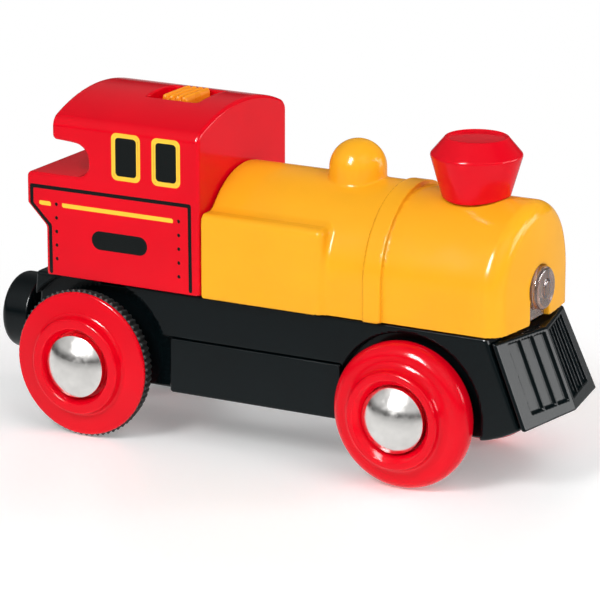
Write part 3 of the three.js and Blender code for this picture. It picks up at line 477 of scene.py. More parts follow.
def printed_cab():
    """Red plastic with black lines, windows and yellow lines printed on it.

    The mesh carries each print's signed distance in millimetres.
    """
    made = moulded_plastic("printed_red_plastic", RED, 0.13)
    tree = made.node_tree
    surface = tree.nodes["Principled BSDF"]
    colour = surface.inputs["Base Color"].links[0].from_socket
    for attribute, ink in (("print_black", PRINT_BLACK), ("print_yellow", PRINT_YELLOW),
                           ("print_line", PRINT_LINE), ("print_glass", PRINT_BLACK)):
        distance = node(tree, "Attribute", {"attribute_name": attribute}).outputs["Fac"]
        share = ranged(tree, distance, -PRINT_EDGE, PRINT_EDGE, 1, 0)
        colour = mixed(tree, share, colour, ink)
    tree.links.new(colour, surface.inputs["Base Color"])
    return made


def add_piece(made, body, slot, *nodes, material=None):
    """Dresses a piece, rides it on its CAD body and hides the nodes it stands for."""
    made.data.materials.clear()
    made.data.materials.append(material or MATERIALS[slot])
    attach(made, body)
    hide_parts(*nodes)


def add_sculpted(name, field, span, step, body, slot, node_name):
    """Sculpts a piece inside a CAD node's box and lets it stand for that node."""
    add_piece(sculpt(name, field, span.low, span.high, step), body, slot, node_name)


# ---------- cab ----------
CAB_SIDE_Y = CAB.y1
WALL = 1.5
ROOF_RISE = 3.1
ROOF_R = (CAB_SIDE_Y ** 2 + ROOF_RISE ** 2) / (2 * ROOF_RISE)
CAB_IN_X = CAB.x1 - WALL
TRAY_FLOOR = CAB.z1 - 1.85
TRAY_X = (BUTTON.x1 - BUTTON.x0) / 2 + SWITCH_TRAVEL + GAP
TRAY_Y = BUTTON.y1 + 0.65
BUNKER_Z = CAB.z0 + 15.75
CAB_REAR = CAB.x0 - 0.3
ROOM_REAR = -24.7        # the rear end of the hollow under the roof
ROOM_TOP = 47.0
BUNKER_ROOM_TOP = 38.5
FOOT_ROOM_REAR = -32.15
CAB_OUTLINE, _ = rounded([
    (CAB.x1 + PAST, CAB.z0 - PAST, 0), (CAB.x1 + PAST, CAB.z1 + PAST, 0),
    (CAB.x0 + 4.3, CAB.z1 + PAST, 0),
    (CAB.x0 + 4.35, BUNKER_Z + 5.45, 0.75), (CAB.x0 + 10.6, BUNKER_Z + 5.05, 2.6),
    (CAB.x0 + 10.6, BUNKER_Z, 2.2), (CAB_REAR, BUNKER_Z, 0.8), (CAB_REAR, CAB.z0 + 10.85, 0.5),
    (CAB_REAR + 3.3, CAB.z0 + 7.55, 0.8), (CAB_REAR + 3.3, CAB.z0 - PAST, 0)])
CAB_ROOM, _ = rounded([
    (CAB_IN_X, CAB.z0 - PAST, 0), (CAB_IN_X, ROOM_TOP, 0.8), (ROOM_REAR, ROOM_TOP, 0.8),
    (ROOM_REAR, BUNKER_ROOM_TOP, 0.5), (CAB.x0 + WALL, BUNKER_ROOM_TOP, 0.5),
    (CAB.x0 + WALL, 35.7, 0.5), (FOOT_ROOM_REAR, 32.4, 0.5), (FOOT_ROOM_REAR, CAB.z0 - PAST, 0)])
SWITCH_ROOM_Y = 6.0
POST_R = 2.2
PILOT_R = 1.08
CAB_POST_TOP = 40.3
STEM_SLOT = (1.25, 1.35)     # half sizes of the slot for the button's stem, without its travel
WIRE_HOLE_Y = (-4.5, 4.5)
WIRE_HOLE_Z = (26, 38)


def cab_field(x, y, z):
    roof = np.hypot(y, z - (CAB.z1 - ROOF_R)) - ROOF_R
    crown = both(np.abs(y) - CAB_SIDE_Y, roof, 1.2)
    body = both(both(inside_outline(x, z, CAB_OUTLINE), crown, 0.45), x - CAB.x1, 0.6)
    room = both(inside_outline(x, z, CAB_ROOM), np.abs(y) - (CAB_SIDE_Y - WALL), 0.8)
    switch_room = block(x, y, z, (ROOM_REAR, CAB_IN_X), (-SWITCH_ROOM_Y, SWITCH_ROOM_Y),
                        (46, TRAY_FLOOR - 0.55))
    body = less(body, np.minimum(room, switch_room), 0.2)
    for screw in CAB_SCREWS:
        post = both(rod(x, y, (screw.x, screw.y), POST_R), z - CAB_POST_TOP, 0.2)
        post = less(post, both(rod(x, y, (screw.x, screw.y), PILOT_R), z - screw.z1 - 1))
        body = np.minimum(body, post)
    tray = both(both(np.abs(x - BUTTON.x) - TRAY_X, np.abs(y) - TRAY_Y, 0.6), TRAY_FLOOR - z, 0.3)
    body = less(body, tray, 0.3)
    stem_slot = both(np.abs(x - BUTTON.x) - SWITCH_TRAVEL - STEM_SLOT[0], np.abs(y) - STEM_SLOT[1])
    body = less(body, both(stem_slot, ROOM_TOP - z))
    wire_window = block(x, y, z, (CAB.x1 - 3, CAB.x1 + 3), WIRE_HOLE_Y, WIRE_HOLE_Z)
    return both(less(body, wire_window), CAB.z0 - z)


STRIPE_HALF = 0.3
PRINT_DEPTH = 0.75       # prints lie on the part of the cab this close to its sides
BORDER = [(-33.0, 24.75), (-33.07, 31.95), (-36.3, 35.1), (-36.3, 37.85), (-8.75, 37.95), (-8.63, 24.9)]
GOLD_LINE_Z = 35.35
GOLD_HALF = 0.33
GOLD_LINES = [(-34.98, -32.92), (-30.94, -11.55)]
WINDOWS = [(-22.13, -17.15), (-15.16, -10.28)]
WINDOW_Z = (40.4, 47.65)
WINDOW_ROUND = 0.9
FRAME_LINE = (0.36, 0.05)    # a fine line in the window's frame: how far in, and its half width
GLASS_INSET = 0.68
RIVET_COLUMNS = [-31.95, -10.6]
RIVET_Z = np.linspace(35.4, 26.9, 5)
RIVET_DOT_R = 0.3
PLATE_MIDDLE = (-20.9, 30.7)     # a plain bar with round ends
PLATE_REACH = 3.4
PLATE_R = 1.45


def window_distance(x, z, inset):
    shapes = []
    for low, high in WINDOWS:
        shapes.append(both(between(x, low + inset, high - inset),
                           between(z, WINDOW_Z[0] + inset, WINDOW_Z[1] - inset), WINDOW_ROUND - inset / 2))
    return np.minimum(*shapes)


def print_cab(cab):
    """Stores how far each vertex is from each printed mark."""
    x, y, z = np.array([v.co for v in cab.data.vertices]).T / MM
    off_side = CAB_SIDE_Y - PRINT_DEPTH - np.abs(y)
    border = [capsule(x, z, a, b, STRIPE_HALF) for a, b in zip(BORDER, BORDER[1:])]
    plate_x, plate_z = PLATE_MIDDLE
    plate = capsule(x, z, (plate_x - PLATE_REACH, plate_z), (plate_x + PLATE_REACH, plate_z), PLATE_R)
    rivets = [np.hypot(x - column, z - row) - RIVET_DOT_R for column in RIVET_COLUMNS for row in RIVET_Z]
    gold = [both(between(x, a, b), np.abs(z - GOLD_LINE_Z) - GOLD_HALF) for a, b in GOLD_LINES]
    marks = {
        "print_black": np.minimum.reduce([*border, plate, *rivets]),
        "print_yellow": np.minimum.reduce([*gold, window_distance(x, z, 0.0)]),
        "print_line": np.abs(window_distance(x, z, FRAME_LINE[0])) - FRAME_LINE[1],
        "print_glass": window_distance(x, z, GLASS_INSET),
    }
    for name, distance in marks.items():
        layer = cab.data.attributes.new(name, "FLOAT", "POINT")
        layer.data.foreach_set("value", np.maximum(distance, off_side).astype(np.float32))


def build_cab():
    cab = sculpt("cab_body", cab_field, CAB.low, CAB.high, 0.3)
    print_cab(cab)
    add_piece(cab, "chassis", "red_plastic", "cab_shell", material=printed_cab())


# ---------- switch button ----------
RIDGE_GAP = 1.08
RIDGE_SIZE = (0.46, 0.55)    # half width and half height of a ridge
STEM_HALF = (1.1, 1.2)


def button_field(x, y, z):
    top = BUTTON.z1 - 0.5
    half_x, half_y = (BUTTON.x1 - BUTTON.x0) / 2, BUTTON.y1
    u = x - BUTTON.x
    slab = block(u, y, z, (-half_x, half_x), (-half_y + 0.15, half_y - 0.15), (TRAY_FLOOR + 0.15, top), 0.3)
    ridges = np.inf
    for k in (-1.5, -0.5, 0.5, 1.5):
        ridge = np.hypot((u - k * RIDGE_GAP) / RIDGE_SIZE[0], (z - top + 0.05) / RIDGE_SIZE[1]) - 1
        ridge = both(ridge * RIDGE_SIZE[0], np.abs(y) - half_y, 0.4)
        ridges = np.minimum(ridges, both(ridge, TRAY_FLOOR + 0.4 - z))
    stem_x, stem_y = STEM_HALF
    stem = block(u, y, z, (-stem_x, stem_x), (-stem_y, stem_y), (BUTTON.z0, TRAY_FLOOR + 1), 0.15)
    return np.minimum(either(slab, ridges, 0.12), stem)


# ---------- boiler ----------
REAR_R = 12.8
BAND_R = 13.2
FRONT_R = 12.4
BAND_X = (19.9, 22.85)
NOSE_ROUND = 2.4
BOW = 1.2
TANK_FRONT = 13.45
TANK_TOP = 37.0
DOME_X = 12.35
DOME_R = 4.3
BOILER_WALL_R = 11.0
LAMP_Z = LENS.z1 - 3.4
BOSS_R = 3.25
TAB_HALF = 3.0
DOME_FOOT_Z = 36
DOME_ROOM_TOP = 45
BOILER_POST_TOP = 33
FACE_WALL = 1.75         # thickness of the front face
DOME_WALL = 1.4
KEYHOLE_GAP = 0.2        # room round the lens
KEYHOLE_REAR = 38


def boiler_field(x, y, z):
    section = np.hypot(y, np.maximum(z - BOILER_AXIS_Z, 0))
    side = np.abs(y)
    barrel = both(section - REAR_R, x - BAND_X[0] - 1)
    tanks = both(both(side - BOILER.y1, z - TANK_TOP, 1.0), x - TANK_FRONT, 0.9)
    body = either(barrel, tanks, 0.7)
    dome = np.hypot(np.hypot(x - DOME_X, y), np.maximum(z - (BOILER.z1 - DOME_R), 0)) - DOME_R
    body = either(body, both(dome, DOME_FOOT_Z - z), 0.35)
    band = both(both(section - BAND_R, BAND_X[0] - x, 0.35), x - BAND_X[1], 0.12)
    body = either(body, band, 0.1)
    nose = both(section - FRONT_R, x - BOILER.x1 + BOW * (y / FRONT_R) ** 2, NOSE_ROUND)
    body = either(body, both(nose, BAND_X[1] - 0.5 - x), 0.1)
    room = both(both(section - BOILER_WALL_R, x - BOILER.x1 + FACE_WALL, 0.5), BOILER.x0 - 2 - x)
    dome_room = both(np.hypot(x - DOME_X, y) - DOME_R + DOME_WALL, z - DOME_ROOM_TOP)
    body = less(body, np.minimum(room, both(dome_room, DOME_FOOT_Z - z)), 0.2)
    for screw in BOILER_SCREWS:
        post = both(rod(x, y, (screw.x, screw.y), POST_R), z - BOILER_POST_TOP, 0.2)
        post = less(post, both(rod(x, y, (screw.x, screw.y), PILOT_R), z - screw.z1 - 1))
        body = np.minimum(body, post)
    keyhole = np.minimum(np.hypot(y, z - LAMP_Z) - BOSS_R - KEYHOLE_GAP,
                         both(side - TAB_HALF - KEYHOLE_GAP, z - LAMP_Z))
    body = less(body, both(keyhole, KEYHOLE_REAR - x), 0.25)
    return both(both(body, BOILER.x0 - x, 0.25), BOILER.z0 - z, 0.15)


# ---------- chimney ----------
STACK_FOOT = (3.85, 37.5)    # radius and height where the cone begins
BRIM_R = 6.85
BRIM_Z = CHIMNEY.z1 - 2.65


def chimney_profile():
    z0, z1 = CHIMNEY.z0, CHIMNEY.z1
    return [(0, z0, 0), (*STACK_FOOT, 0.02), (BRIM_R, BRIM_Z, 0.55), (4.7, z1 - 0.1, 0.3),
            (4.5, z1, 0.1), (4.1, z1 - 0.4, 0.4), (0, z1 - 0.6, 0)]


def saddle(points):
    """Lifts the chimney's foot onto the round of the boiler."""
    seat = FRONT_R + 0.1
    height = BOILER_AXIS_Z + np.sqrt(np.maximum(seat ** 2 - points[:, 1] ** 2, 0))
    out = np.hypot(points[:, 0] - CHIMNEY.x, points[:, 1])
    low = points[:, 2] < height
    moved = points.copy()
    moved[low, 2] = height[low]
    foot_r, foot_z = STACK_FOOT
    slant = (BRIM_R - foot_r) / (BRIM_Z - foot_z)
    grow = np.where(low & (out > 0.1), 1 + slant * (height - foot_z) / foot_r, 1.0)
    moved[:, 0] = CHIMNEY.x + (points[:, 0] - CHIMNEY.x) * grow
    moved[:, 1] = points[:, 1] * grow
    return moved


# ---------- chassis ----------
CHASSIS_OUTLINE, _ = rounded([
    (-36.75, CHASSIS.z1, 0.4), (-37.4, 17.5, 2), (-37.4, 12.5, 2), (-36.2, 10.6, 1), (-34.2, 9.0, 1.5),
    (-31.5, CHASSIS.z0, 1.5), (37.4, CHASSIS.z0, 2), (39.7, 8.6, 2), (42.0, 9.4, 2), (43.8, 10.3, 1),
    (44.9, 10.9, 0.2), (39.4, CHASSIS.z1, 0.3)])
WELLS = [(REAR_AXLE, 13.4), (FRONT_AXLE, 11.9)]
WELL_FACE = 10.2
COVER_FLOOR = 9.3
STRIP_HALF = 4.6
WIDE_HALF = 6.9
NECK_HALF = 2.6
NECK_RISE = 2.5
CELL_BAY = {"x": (-24.4, 24.05), "half": 5.7, "top": 20.7}
SIDE_POCKET = {"x": (-8.2, 10.2), "y": (6.9, 10.2), "top": 22.4}
DOOR_X = (-11, 15.8)         # the full-width part of the battery door
DOOR_WING_X = (-13.2, 15.8)
WING_ROOM_REAR = -15         # the room for a door's wing opens into the wheel well
WING_ROOM_Y = 10.65
DOOR_WING_Y = 10.95
CRADLE_Z = (22.9, 30)        # the saddle cut for the motor
GEAR_ROOM_R = 6.9
GEAR_ROOM_Y = (4.8, BEARING_Y)
PEG_HOLE_R = 1.5
HEAD_HOLE_TOP = 18.2


def widened(low, high):
    return low - GAP, high + GAP


def chassis_field(x, y, z):
    side = np.abs(y)
    body = both(inside_outline(x, z, CHASSIS_OUTLINE), side - CHASSIS.y1, 0.55)
    neck = block(x, y, z, (DRUM.x1 + GAP, -36), (-NECK_HALF, NECK_HALF),
                 (DRUM.z - NECK_RISE, DRUM.z + NECK_RISE), 0.4)
    body = either(body, neck, 0.5)
    for axle, radius in WELLS:
        body = less(body, both(rod(x, z, (axle[0], axle[2]), radius), WELL_FACE - side), 0.3)
    rooms = [
        block(x, side, z, CELL_BAY["x"], (-1, CELL_BAY["half"]), (0, CELL_BAY["top"])),
        block(x, side, z, SIDE_POCKET["x"], SIDE_POCKET["y"], (0, SIDE_POCKET["top"])),
        block(x, side, z, widened(*DOOR_X), (-1, 20), (0, COVER_FLOOR + GAP)),
        block(x, side, z, (WING_ROOM_REAR, DOOR_X[1] + SEAM), (WING_ROOM_Y, 20), (0, DOOR.z1 + SEAM)),
        block(x, side, z, widened(DOOR.x0, DOOR.x1), (-1, 7.2), (0, COVER_FLOOR + GAP)),
        block(x, side, z, widened(AXLE_COVER.x0, AXLE_COVER.x1), (-1, 9.3), (0, COVER_FLOOR + GAP)),
        block(x, side, z, (FRONT_AXLE[0] - AXLE_R - FIT, FRONT_AXLE[0] + AXLE_R + FIT),
              (-1, BEARING_Y), (0, FRONT_AXLE[2])),
        block(x, y, z, (MOTOR.x0 - 0.5, MOTOR.x1 + 0.5), (MOTOR.y0 - 2.2, MOTOR.y1 + 0.2), CRADLE_Z),
    ]
    for axle in (FRONT_AXLE, REAR_AXLE):
        rooms.append(both(rod(x, z, (axle[0], axle[2]), AXLE_R + FIT), side - BEARING_Y))
    chain = [(place[0], place[2]) for place in [REAR_AXLE, *GEAR_SHAFTS]]
    for start, end in zip(chain, chain[1:] + chain[:1]):
        rooms.append(both(capsule(x, z, start, end, GEAR_ROOM_R), between(y, *GEAR_ROOM_Y)))
    for screw in [*CAB_SCREWS, *BOILER_SCREWS]:
        rooms.append(both(rod(x, y, (screw.x, screw.y), SCREW_HEAD_R), z - HEAD_HOLE_TOP))
        rooms.append(rod(x, y, (screw.x, screw.y), SHANK_HOLE_R))
    for peg_y in (-PEG_Y, PEG_Y):
        rooms.append(both(rod(y, z, (peg_y, PEG_Z), PEG_HOLE_R), 37.5 - x))
    return less(body, np.minimum.reduce(np.broadcast_arrays(*rooms)), 0.12)


def door_field(x, y, z):
    side = np.abs(y)
    low = DOOR.z0
    plate = block(x, side, z, DOOR_X, (DEEP, DOOR.y1), (low, COVER_FLOOR), 0.3)
    wide = block(x, side, z, (-19.4, DOOR.x1), (DEEP, WIDE_HALF), (low, COVER_FLOOR), 0.3)
    strip = block(x, side, z, (DOOR.x0, DOOR.x1), (DEEP, STRIP_HALF), (low, COVER_FLOOR), 0.3)
    wings = block(x, side, z, DOOR_WING_X, (DOOR_WING_Y, DOOR.y1), (low, DOOR.z1), 0.15)
    body = np.minimum(np.minimum(plate, wide), np.minimum(strip, wings))
    screw = Span("battery_door_screw")
    body = less(body, rod(x, y, (screw.x, screw.y), 1.1), 0.1)
    body = less(body, both(rod(x, y, (screw.x, screw.y), 2.1), z - 8.8), 0.1)
    for post in CAB_SCREWS:
        body = less(body, rod(x, y, (post.x, post.y), SCREW_HEAD_R), 0.1)
    return body


# ---------- cowcatcher ----------
SLOTS = [(0.22, 0.455), (0.48, 0.7), (0.725, 0.945)]
SLOT_REACH = (0.05, 0.845)
SLOT_DEPTH = 0.5
PEG_R = 1.2
PLOUGH_HALF = (11.7, 0.7)    # half width at the top, and how much it gains towards the foot
RIDGE_X = 43.45              # the middle ridge at the top
EDGE_X = (40.75, 5.4)        # the outer edges at the top, and how far they run forward
BACK_X = (40.1, 5.35)        # the rear face likewise
FOOT_RISE = 0.3              # how much the foot's middle is lifted


def plough_field(x, y, z):
    side = np.abs(y)
    top, low = PLOUGH.z1, PLOUGH.z0
    down = (top - z) / (top - low)
    half = PLOUGH_HALF[0] + PLOUGH_HALF[1] * down
    ridge_x = RIDGE_X + (PLOUGH.x1 - RIDGE_X) * (top - z) / (top - low - FOOT_RISE)
    edge_x = EDGE_X[0] + EDGE_X[1] * down
    across = side / half
    # 0.9 and 0.92 turn lengths along X into distances square to the sloping faces.
    front = (x - ridge_x + (ridge_x - edge_x) * across) * 0.9
    back = (BACK_X[0] + BACK_X[1] * down - x) * 0.92
    foot = low + FOOT_RISE * (1 - across) - z
    body = both(both(front, back, 0.15), side - half, 0.3)
    body = both(both(body, z - top, 0.3), foot, 0.3)
    slots = np.inf
    z_high = top - SLOT_REACH[0] * (top - low)
    z_low = top - SLOT_REACH[1] * (top - low)
    for start, end in SLOTS:
        opening = both(between(side, (1 - end) * half, (1 - start) * half), between(z, z_low, z_high), 0.15)
        slots = np.minimum(slots, both(opening, -front - SLOT_DEPTH, 0.3))
    body = less(body, slots, 0.1)
    peg = both(rod(side, z, (PEG_Y, PEG_Z), PEG_R), between(x, PLOUGH.x0, 43), 0.1)
    return np.minimum(body, peg)


# ---------- headlight ----------
def lens_field(x, y, z):
    side = np.abs(y)
    low = LENS.z0
    tab = np.minimum(np.hypot(y, z - LAMP_Z) - BOSS_R, both(side - TAB_HALF, z - LAMP_Z))
    tab = both(tab, between(x, LENS.x1 - 2.8, LENS.x1 - 2.0), 0.2)
    out = np.hypot(y, z - LAMP_Z)
    boss = both(out - BOSS_R, between(x, LENS.x1 - 2.6, LENS.x1 - 0.3), 0.6)
    bead = both(out - 1.55, x - LENS.x1, 0.7)
    bead = both(bead, LENS.x1 - 1.2 - x)
    flange = block(x, side, z, (LENS.x0, LENS.x0 + 0.55), (-9, LENS.y1), (low, LENS.z1), 0.15)
    bridge = block(x, side, z, (LENS.x0, LENS.x1 - 2.4), (-9, 2.5), (low, LAMP_Z + 2), 0.1)
    body = either(np.minimum(tab, either(boss, bead, 0.15)), np.minimum(flange, bridge), 0.05)
    return both(body, low - z, 0.1)


# ---------- wheels, tyres and caps ----------
BORE = AXLE_R + FIT
CAPS = {"front": (5.0, 2.0), "rear": (4.85, 1.7)}      # radius and height of each dome


def front_wheel_profile(inner, face):
    rim = FRONT_AXLE[2]
    return [(BORE, inner, 0.1), (8.6, inner, 0.5), (rim, inner + 0.1, 2.0), (rim, 15.2, 2.05),
            (7.65, 15.5, 1.5), (7.3, face, 0.4), (6.25, face, 0.25), (5.3, face - 1.3, 0.15),
            (5.25, face - 2.4, 0.1), (BORE, face - 2.4, 0.1)]


def rear_wheel_profile(inner, face):
    return [(BORE, inner, 0.1), (3.2, inner, 0.2), (3.2, 12.3, 0.1), (9.6, 12.3, 0.1), (9.6, 15.0, 0.1),
            (11.15, 15.0, 0.08), (11.15, 15.5, 0.4), (7.75, 15.95, 0.7), (7.35, face, 0.35),
            (5.95, face, 0.25), (5.3, face - 1.2, 0.15), (5.25, face - 1.9, 0.1),
            (BORE, face - 1.9, 0.1)]


def cap_profile(low, top, radius, rise):
    rim = top - rise
    ball = (radius ** 2 + rise ** 2) / (2 * rise)
    start = math.acos(radius / ball)
    dome = [(ball * math.cos(a), top - ball + ball * math.sin(a), 0)
            for a in np.linspace(start, math.pi / 2, 16)[2:-1]]
    return [(0, low, 0), (radius, low, 0.1), (radius, rim, 0.18), *dome, (0, top, 0)]


RIBS = 72
RIB_DEPTH = 0.4
TYRE_SEAT = 9.75
POINTS_PER_RIB = 8


def tyre(name, span, sign):
    """A rubber ring with straight ribs over its tread, narrowing towards the middle of the engine."""
    radius = REAR_AXLE[2]
    inner, outer = sorted((abs(span.y0), abs(span.y1)))
    rows = [(TYRE_SEAT, inner, 0), (radius - 1.15, inner, 0), (radius - 0.85, inner + 0.06, 0.4),
            (radius - 0.68, inner + 0.2, 0.8), (radius - 0.55, inner + 0.45, 1)]
    rows += [(radius - 0.5 + 0.44 * t, inner + 0.45 + (outer - inner - 0.75) * t, 1)
             for t in np.linspace(0.1, 1, 6)]
    rows += [(radius, outer - 0.2, 1), (radius - 0.08, outer - 0.05, 0.9),
             (radius - 0.25, outer, 0.5), (radius - 0.6, outer, 0), (TYRE_SEAT, outer, 0)]
    steps = RIBS * POINTS_PER_RIB
    angle = np.arange(steps) * 2 * math.pi / steps
    groove = np.clip(0.5 + 0.9 * np.cos(RIBS * angle), 0, 1)
    points = []
    for r, h, depth in rows:
        spoke = r - RIB_DEPTH * depth * groove
        points.append(np.stack([spoke * np.sin(angle), np.full(steps, sign * h), spoke * np.cos(angle)], 1))
    count = len(rows)
    index = np.arange(count * steps).reshape(count, steps)
    ahead = np.roll(index, -1, axis=1)
    above, above_ahead = np.roll(index, -1, axis=0), np.roll(ahead, -1, axis=0)
    quads = np.stack([index, ahead, above_ahead, above], axis=2).reshape(-1, 4)
    centre = np.array([REAR_AXLE[0], 0, REAR_AXLE[2]])
    return make_mesh(name, np.concatenate(points) + centre, quads if sign > 0 else quads[:, ::-1])


def build_wheels():
    for side, sign in (("left", 1), ("right", -1)):
        for end, axle, profile in (("front", FRONT_AXLE, front_wheel_profile),
                                   ("rear", REAR_AXLE, rear_wheel_profile)):
            body = f"{end}_wheelset"
            wheel = Span(f"{end}_wheel_{side}")
            inner, face = sorted((abs(wheel.y0), abs(wheel.y1)))
            centre = (axle[0], 0, axle[2])
            made = turned(f"{end}_disc_{side}", profile(inner, face), "y", centre, sign)
            add_piece(made, body, "red_plastic", f"{end}_wheel_{side}")
            cap = Span(f"{end}_hub_cap_{side}")
            low, top = sorted((abs(cap.y0), abs(cap.y1)))
            made = turned(f"{end}_cap_{side}", cap_profile(low, top, *CAPS[end]), "y", centre, sign)
            add_piece(made, body, "hub_nickel", f"{end}_hub_cap_{side}")
        made = tyre(f"ribbed_tyre_{side}", Span(f"rear_tyre_{side}"), sign)
        add_piece(made, "rear_wheelset", "tyre_rubber", f"rear_tyre_{side}")


# ---------- rear coupling ----------
def drum_profile():
    r = (DRUM.z1 - DRUM.z0) / 2
    mouth, back = DRUM.x0 + 0.55, DRUM.x1 - 1.45
    return [(1.08, DRUM.x1, 0.1), (r, DRUM.x1, 0.4), (r, DRUM.x0, 1.3), (4.15, DRUM.x0, 0.2),
            (4.15, mouth, 0.05), (4.75, mouth, 0.05), (4.75, back, 0.05), (1.08, back, 0.05)]


def magnet_profile():
    x0, x1 = MAGNET.x0, MAGNET.x1
    return [(0, x1, 0), (4.5, x1, 0.2), (4.5, x1 - 1.8, 0.1), (3.9, x1 - 1.8, 0.1), (3.9, x0 + 0.85, 0.3),
            (3.3, x0 + 0.25, 0.4), (2.4, x0, 0.2), (0, x0, 0)]


# ---------- the rest of the CAD parts ----------
SOFT_EDGE = 0.06


def dress_cad():
    """Gives each CAD node that still shows its slot's material and softened edges."""
    for part in frame["record"]["subparts"]:
        shown = frame["nodes"][part["node"]]
        shown.data.materials.clear()
        shown.data.materials.append(MATERIALS[part["material_slot"]])
        if shown.hide_render:
            continue
        soft = shown.modifiers.new("soft_edges", "BEVEL")
        soft.width = SOFT_EDGE * MM
        soft.segments = 2
        soft.limit_method = "ANGLE"
        soft.angle_limit = math.radians(40)
        soft.harden_normals = False


# ---------- stage: floor, light, camera ----------
BACKDROP = (1.0, 1.0, 1.0)
ROOM_LIGHT = 0.23            # the even light the room gives
ROOM_GLOW = (0.6, 0.16)      # how bright the room looks in reflections, on the engine's right and left
ROOM_DARK = 0.15             # the part of the room's glow left near the horizon
# The floor's brightness in reflections: on the right far off and close by, then on the left.
FLOOR_GLOW = (0.45, 0.8)
FLOOR_GLOW_LEFT = 0.4
FLOOR_LIFT = 0.22            # light added to the floor, for a bright backdrop
FLOOR_HALF = 3.0             # metres, like all lengths of the floor, the lamps and the camera
FADE_SHIFT = (-0.01, 0.03, 0)    # brings the middle of the shaded floor to x 0.01, y -0.03
FADE = (0.06, 0.15)          # how far from that middle the floor starts and ends its fade to white
AIM_HEIGHT = 0.025
SENSOR_WIDTH = 36
CAMERA = {"azimuth": 28.521, "elevation": 15.886, "roll": 0.087, "distance": 0.5773,
          "target": (-0.0022, 0.0088, 0.0189), "lens": 225.74}


def build_floor():
    made = bpy.data.meshes.new("floor")
    half = FLOOR_HALF
    made.from_pydata([(-half, -half, 0), (half, -half, 0), (half, half, 0), (-half, half, 0)], [],
                     [(0, 1, 2, 3)])
    floor = bpy.data.objects.new("floor", made)
    bpy.context.scene.collection.objects.link(floor)
    material, tree, surface = new_material("pale_floor")
    cloud = ranged(tree, noise(tree, 60.0), 0.3, 0.7, 0, 1)
    finish_surface(tree, surface, mixed(tree, cloud, (0.93, 0.93, 0.93), (0.95, 0.95, 0.95)), 0.45)
    middle = node(tree, "Mapping", Vector=node(tree, "TexCoord").outputs["Object"],
                  Location=FADE_SHIFT).outputs[0]
    away = node(tree, "VectorMath", {"operation": "LENGTH"}, Vector=middle).outputs["Value"]
    fade = node(tree, "MapRange", {"interpolation_type": "SMOOTHSTEP"}, Value=away, From_Min=FADE[0],
                From_Max=FADE[1], To_Min=0.0, To_Max=1.0).outputs["Result"]
    glow = node(tree, "Emission", Color=(*BACKDROP, 1), Strength=1.0)
    lift = node(tree, "Emission", Color=(1, 1, 1, 1), Strength=FLOOR_LIFT)
    near = node(tree, "AddShader", in_0=surface.outputs[0], in_1=lift.outputs[0])
    seen = node(tree, "MixShader", in_0=fade, in_1=near.outputs[0], in_2=glow.outputs[0])
    across = node(tree, "SeparateXYZ", Vector=node(tree, "TexCoord").outputs["Object"]).outputs["Y"]
    right = ranged(tree, across, -0.12, -0.03, *FLOOR_GLOW)
    strength = ranged(tree, ranged(tree, across, -0.01, 0.03, 0, 1), 0, 1, right, FLOOR_GLOW_LEFT)
    shine = node(tree, "Emission", Color=(1, 1, 1, 1), Strength=strength)
    mirrored = node(tree, "LightPath").outputs["Is Glossy Ray"]
    blend = node(tree, "MixShader", in_0=mirrored, in_1=seen.outputs[0], in_2=shine.outputs[0])
    tree.links.new(blend.outputs[0], tree.nodes["Material Output"].inputs["Surface"])
    made.materials.append(material)


def build_world():
    world = bpy.data.worlds.new("studio")
    bpy.context.scene.world = world
    world.use_nodes = True
    tree = world.node_tree
    tree.nodes.clear()
    way = node(tree, "SeparateXYZ", Vector=node(tree, "TexCoord").outputs["Generated"]).outputs
    wall = ranged(tree, way["Y"], -0.5, 0.2, *ROOM_GLOW)
    dim = ranged(tree, way["Z"], 0.12, 0.3, ROOM_DARK, 1)
    sky = node(tree, "Math", {"operation": "MULTIPLY"}, in_0=wall, in_1=dim).outputs[0]
    ray = node(tree, "LightPath").outputs
    seen = ray["Is Camera Ray"]
    strength = ranged(tree, ray["Is Glossy Ray"], 0, 1, ROOM_LIGHT, sky)
    room = node(tree, "Background", Color=(1, 1, 1, 1), Strength=strength)
    plain = node(tree, "Background", Color=(*BACKDROP, 1), Strength=1.0)
    blend = node(tree, "MixShader", in_0=seen, in_1=room.outputs[0], in_2=plain.outputs[0])
    output = tree.nodes.new("ShaderNodeOutputWorld")
    tree.links.new(blend.outputs[0], output.inputs["Surface"])


def softbox(name, azimuth, elevation, distance, size, power, mirrored=True, lights=True):
    """An area lamp that faces the engine. It may be kept out of reflections, or be seen only in them.

    Azimuth 0 is on the engine's right side and 90 is ahead of it.
    """
    lamp = bpy.data.lights.new(name, "AREA")
    lamp.shape = "RECTANGLE"
    lamp.size, lamp.size_y = size
    lamp.energy = power
    made = bpy.data.objects.new(name, lamp)
    bpy.context.scene.collection.objects.link(made)
    a, e = math.radians(azimuth), math.radians(elevation)
    away = Vector((math.sin(a) * math.cos(e), -math.cos(a) * math.cos(e), math.sin(e)))
    made.location = Vector((0, 0, AIM_HEIGHT)) + away * distance
    made.rotation_euler = away.to_track_quat("Z", "Y").to_euler()
    made.visible_camera = False
    made.visible_glossy = mirrored
    made.visible_diffuse = lights


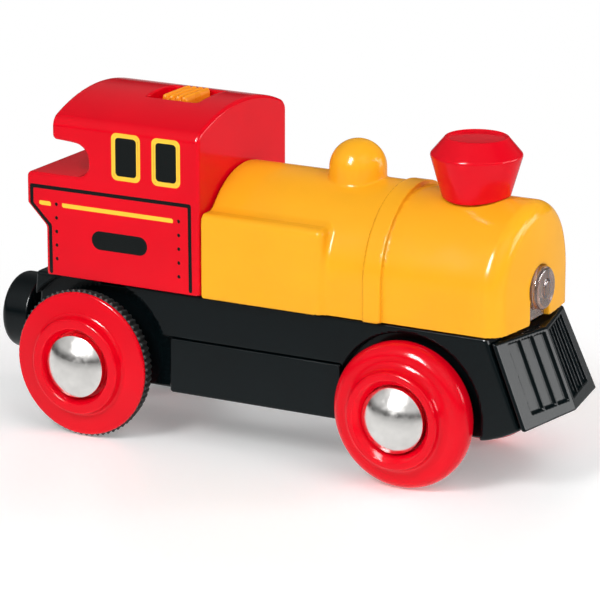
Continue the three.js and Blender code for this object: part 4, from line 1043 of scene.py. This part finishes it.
def build_lamps():
    softbox("key_lamp", -7, 40, 0.6, (0.2, 0.2), 1.6, mirrored=False)
    softbox("key_shine", -7, 35, 0.6, (0.14, 0.26), 8.0, lights=False)
    softbox("rim_lamp", 120, 17, 0.6, (0.13, 0.22), 0.95, mirrored=False)
    softbox("rim_shine", 107, 19, 0.6, (0.28, 0.2), 1.5, lights=False)
    softbox("front_shine", 131, 9, 0.6, (0.2, 0.19), 0.6, lights=False)
    softbox("broad_fill", 60, 42, 0.7, (0.5, 0.4), 2.1, mirrored=False)
    softbox("far_fill", 205, 28, 0.7, (0.5, 0.4), 1.4, mirrored=False)


def build_camera():
    a, e, roll = (math.radians(CAMERA[k]) for k in ("azimuth", "elevation", "roll"))
    back = Vector((math.sin(a) * math.cos(e), -math.cos(a) * math.cos(e), math.sin(e)))
    level = Vector((math.cos(a), math.sin(a), 0))
    upright = back.cross(level)
    right = level * math.cos(roll) + upright * math.sin(roll)
    data = bpy.data.cameras.new("camera")
    data.lens = CAMERA["lens"]
    data.sensor_width = SENSOR_WIDTH
    camera = bpy.data.objects.new("camera", data)
    bpy.context.scene.collection.objects.link(camera)
    turn = Matrix((right, back.cross(right), back)).transposed().to_4x4()
    camera.matrix_world = Matrix.Translation(Vector(CAMERA["target"]) + back * CAMERA["distance"]) @ turn
    bpy.context.scene.camera = camera


# ---------- everything ----------
build_cab()
add_sculpted("switch_button_cap", button_field, BUTTON, 0.14,
             "switch_slide", "switch_plastic", "switch_button")
add_sculpted("boiler_body", boiler_field, BOILER, 0.3, "chassis", "yellow_plastic", "boiler_shell")
add_piece(turned("chimney_stack", chimney_profile(), "z", (CHIMNEY.x, CHIMNEY.y, 0), shape=saddle),
          "chassis", "red_plastic", "chimney")
add_sculpted("chassis_body", chassis_field, CHASSIS, 0.35, "chassis", "black_plastic", "chassis_frame")
add_sculpted("battery_door_panel", door_field, DOOR, 0.3, "chassis", "black_plastic", "battery_door")
add_sculpted("slotted_plough", plough_field, PLOUGH, 0.16, "chassis", "black_plastic", "cowcatcher")
add_sculpted("headlight_cover", lens_field, LENS, 0.12, "chassis", "lens_clear", "headlight_lens")
build_wheels()
add_piece(turned("coupling_housing", drum_profile(), "x", (0, DRUM.y, DRUM.z)),
          "chassis", "black_plastic", "coupling_drum")
add_piece(turned("coupling_magnet_disc", magnet_profile(), "x", (0, MAGNET.y, MAGNET.z)),
          "magnet_disc", "magnet_metal", "coupling_magnet")
dress_cad()
build_floor()
build_world()
build_lamps()
build_camera()
bpy.context.scene.view_settings.view_transform = "Standard"
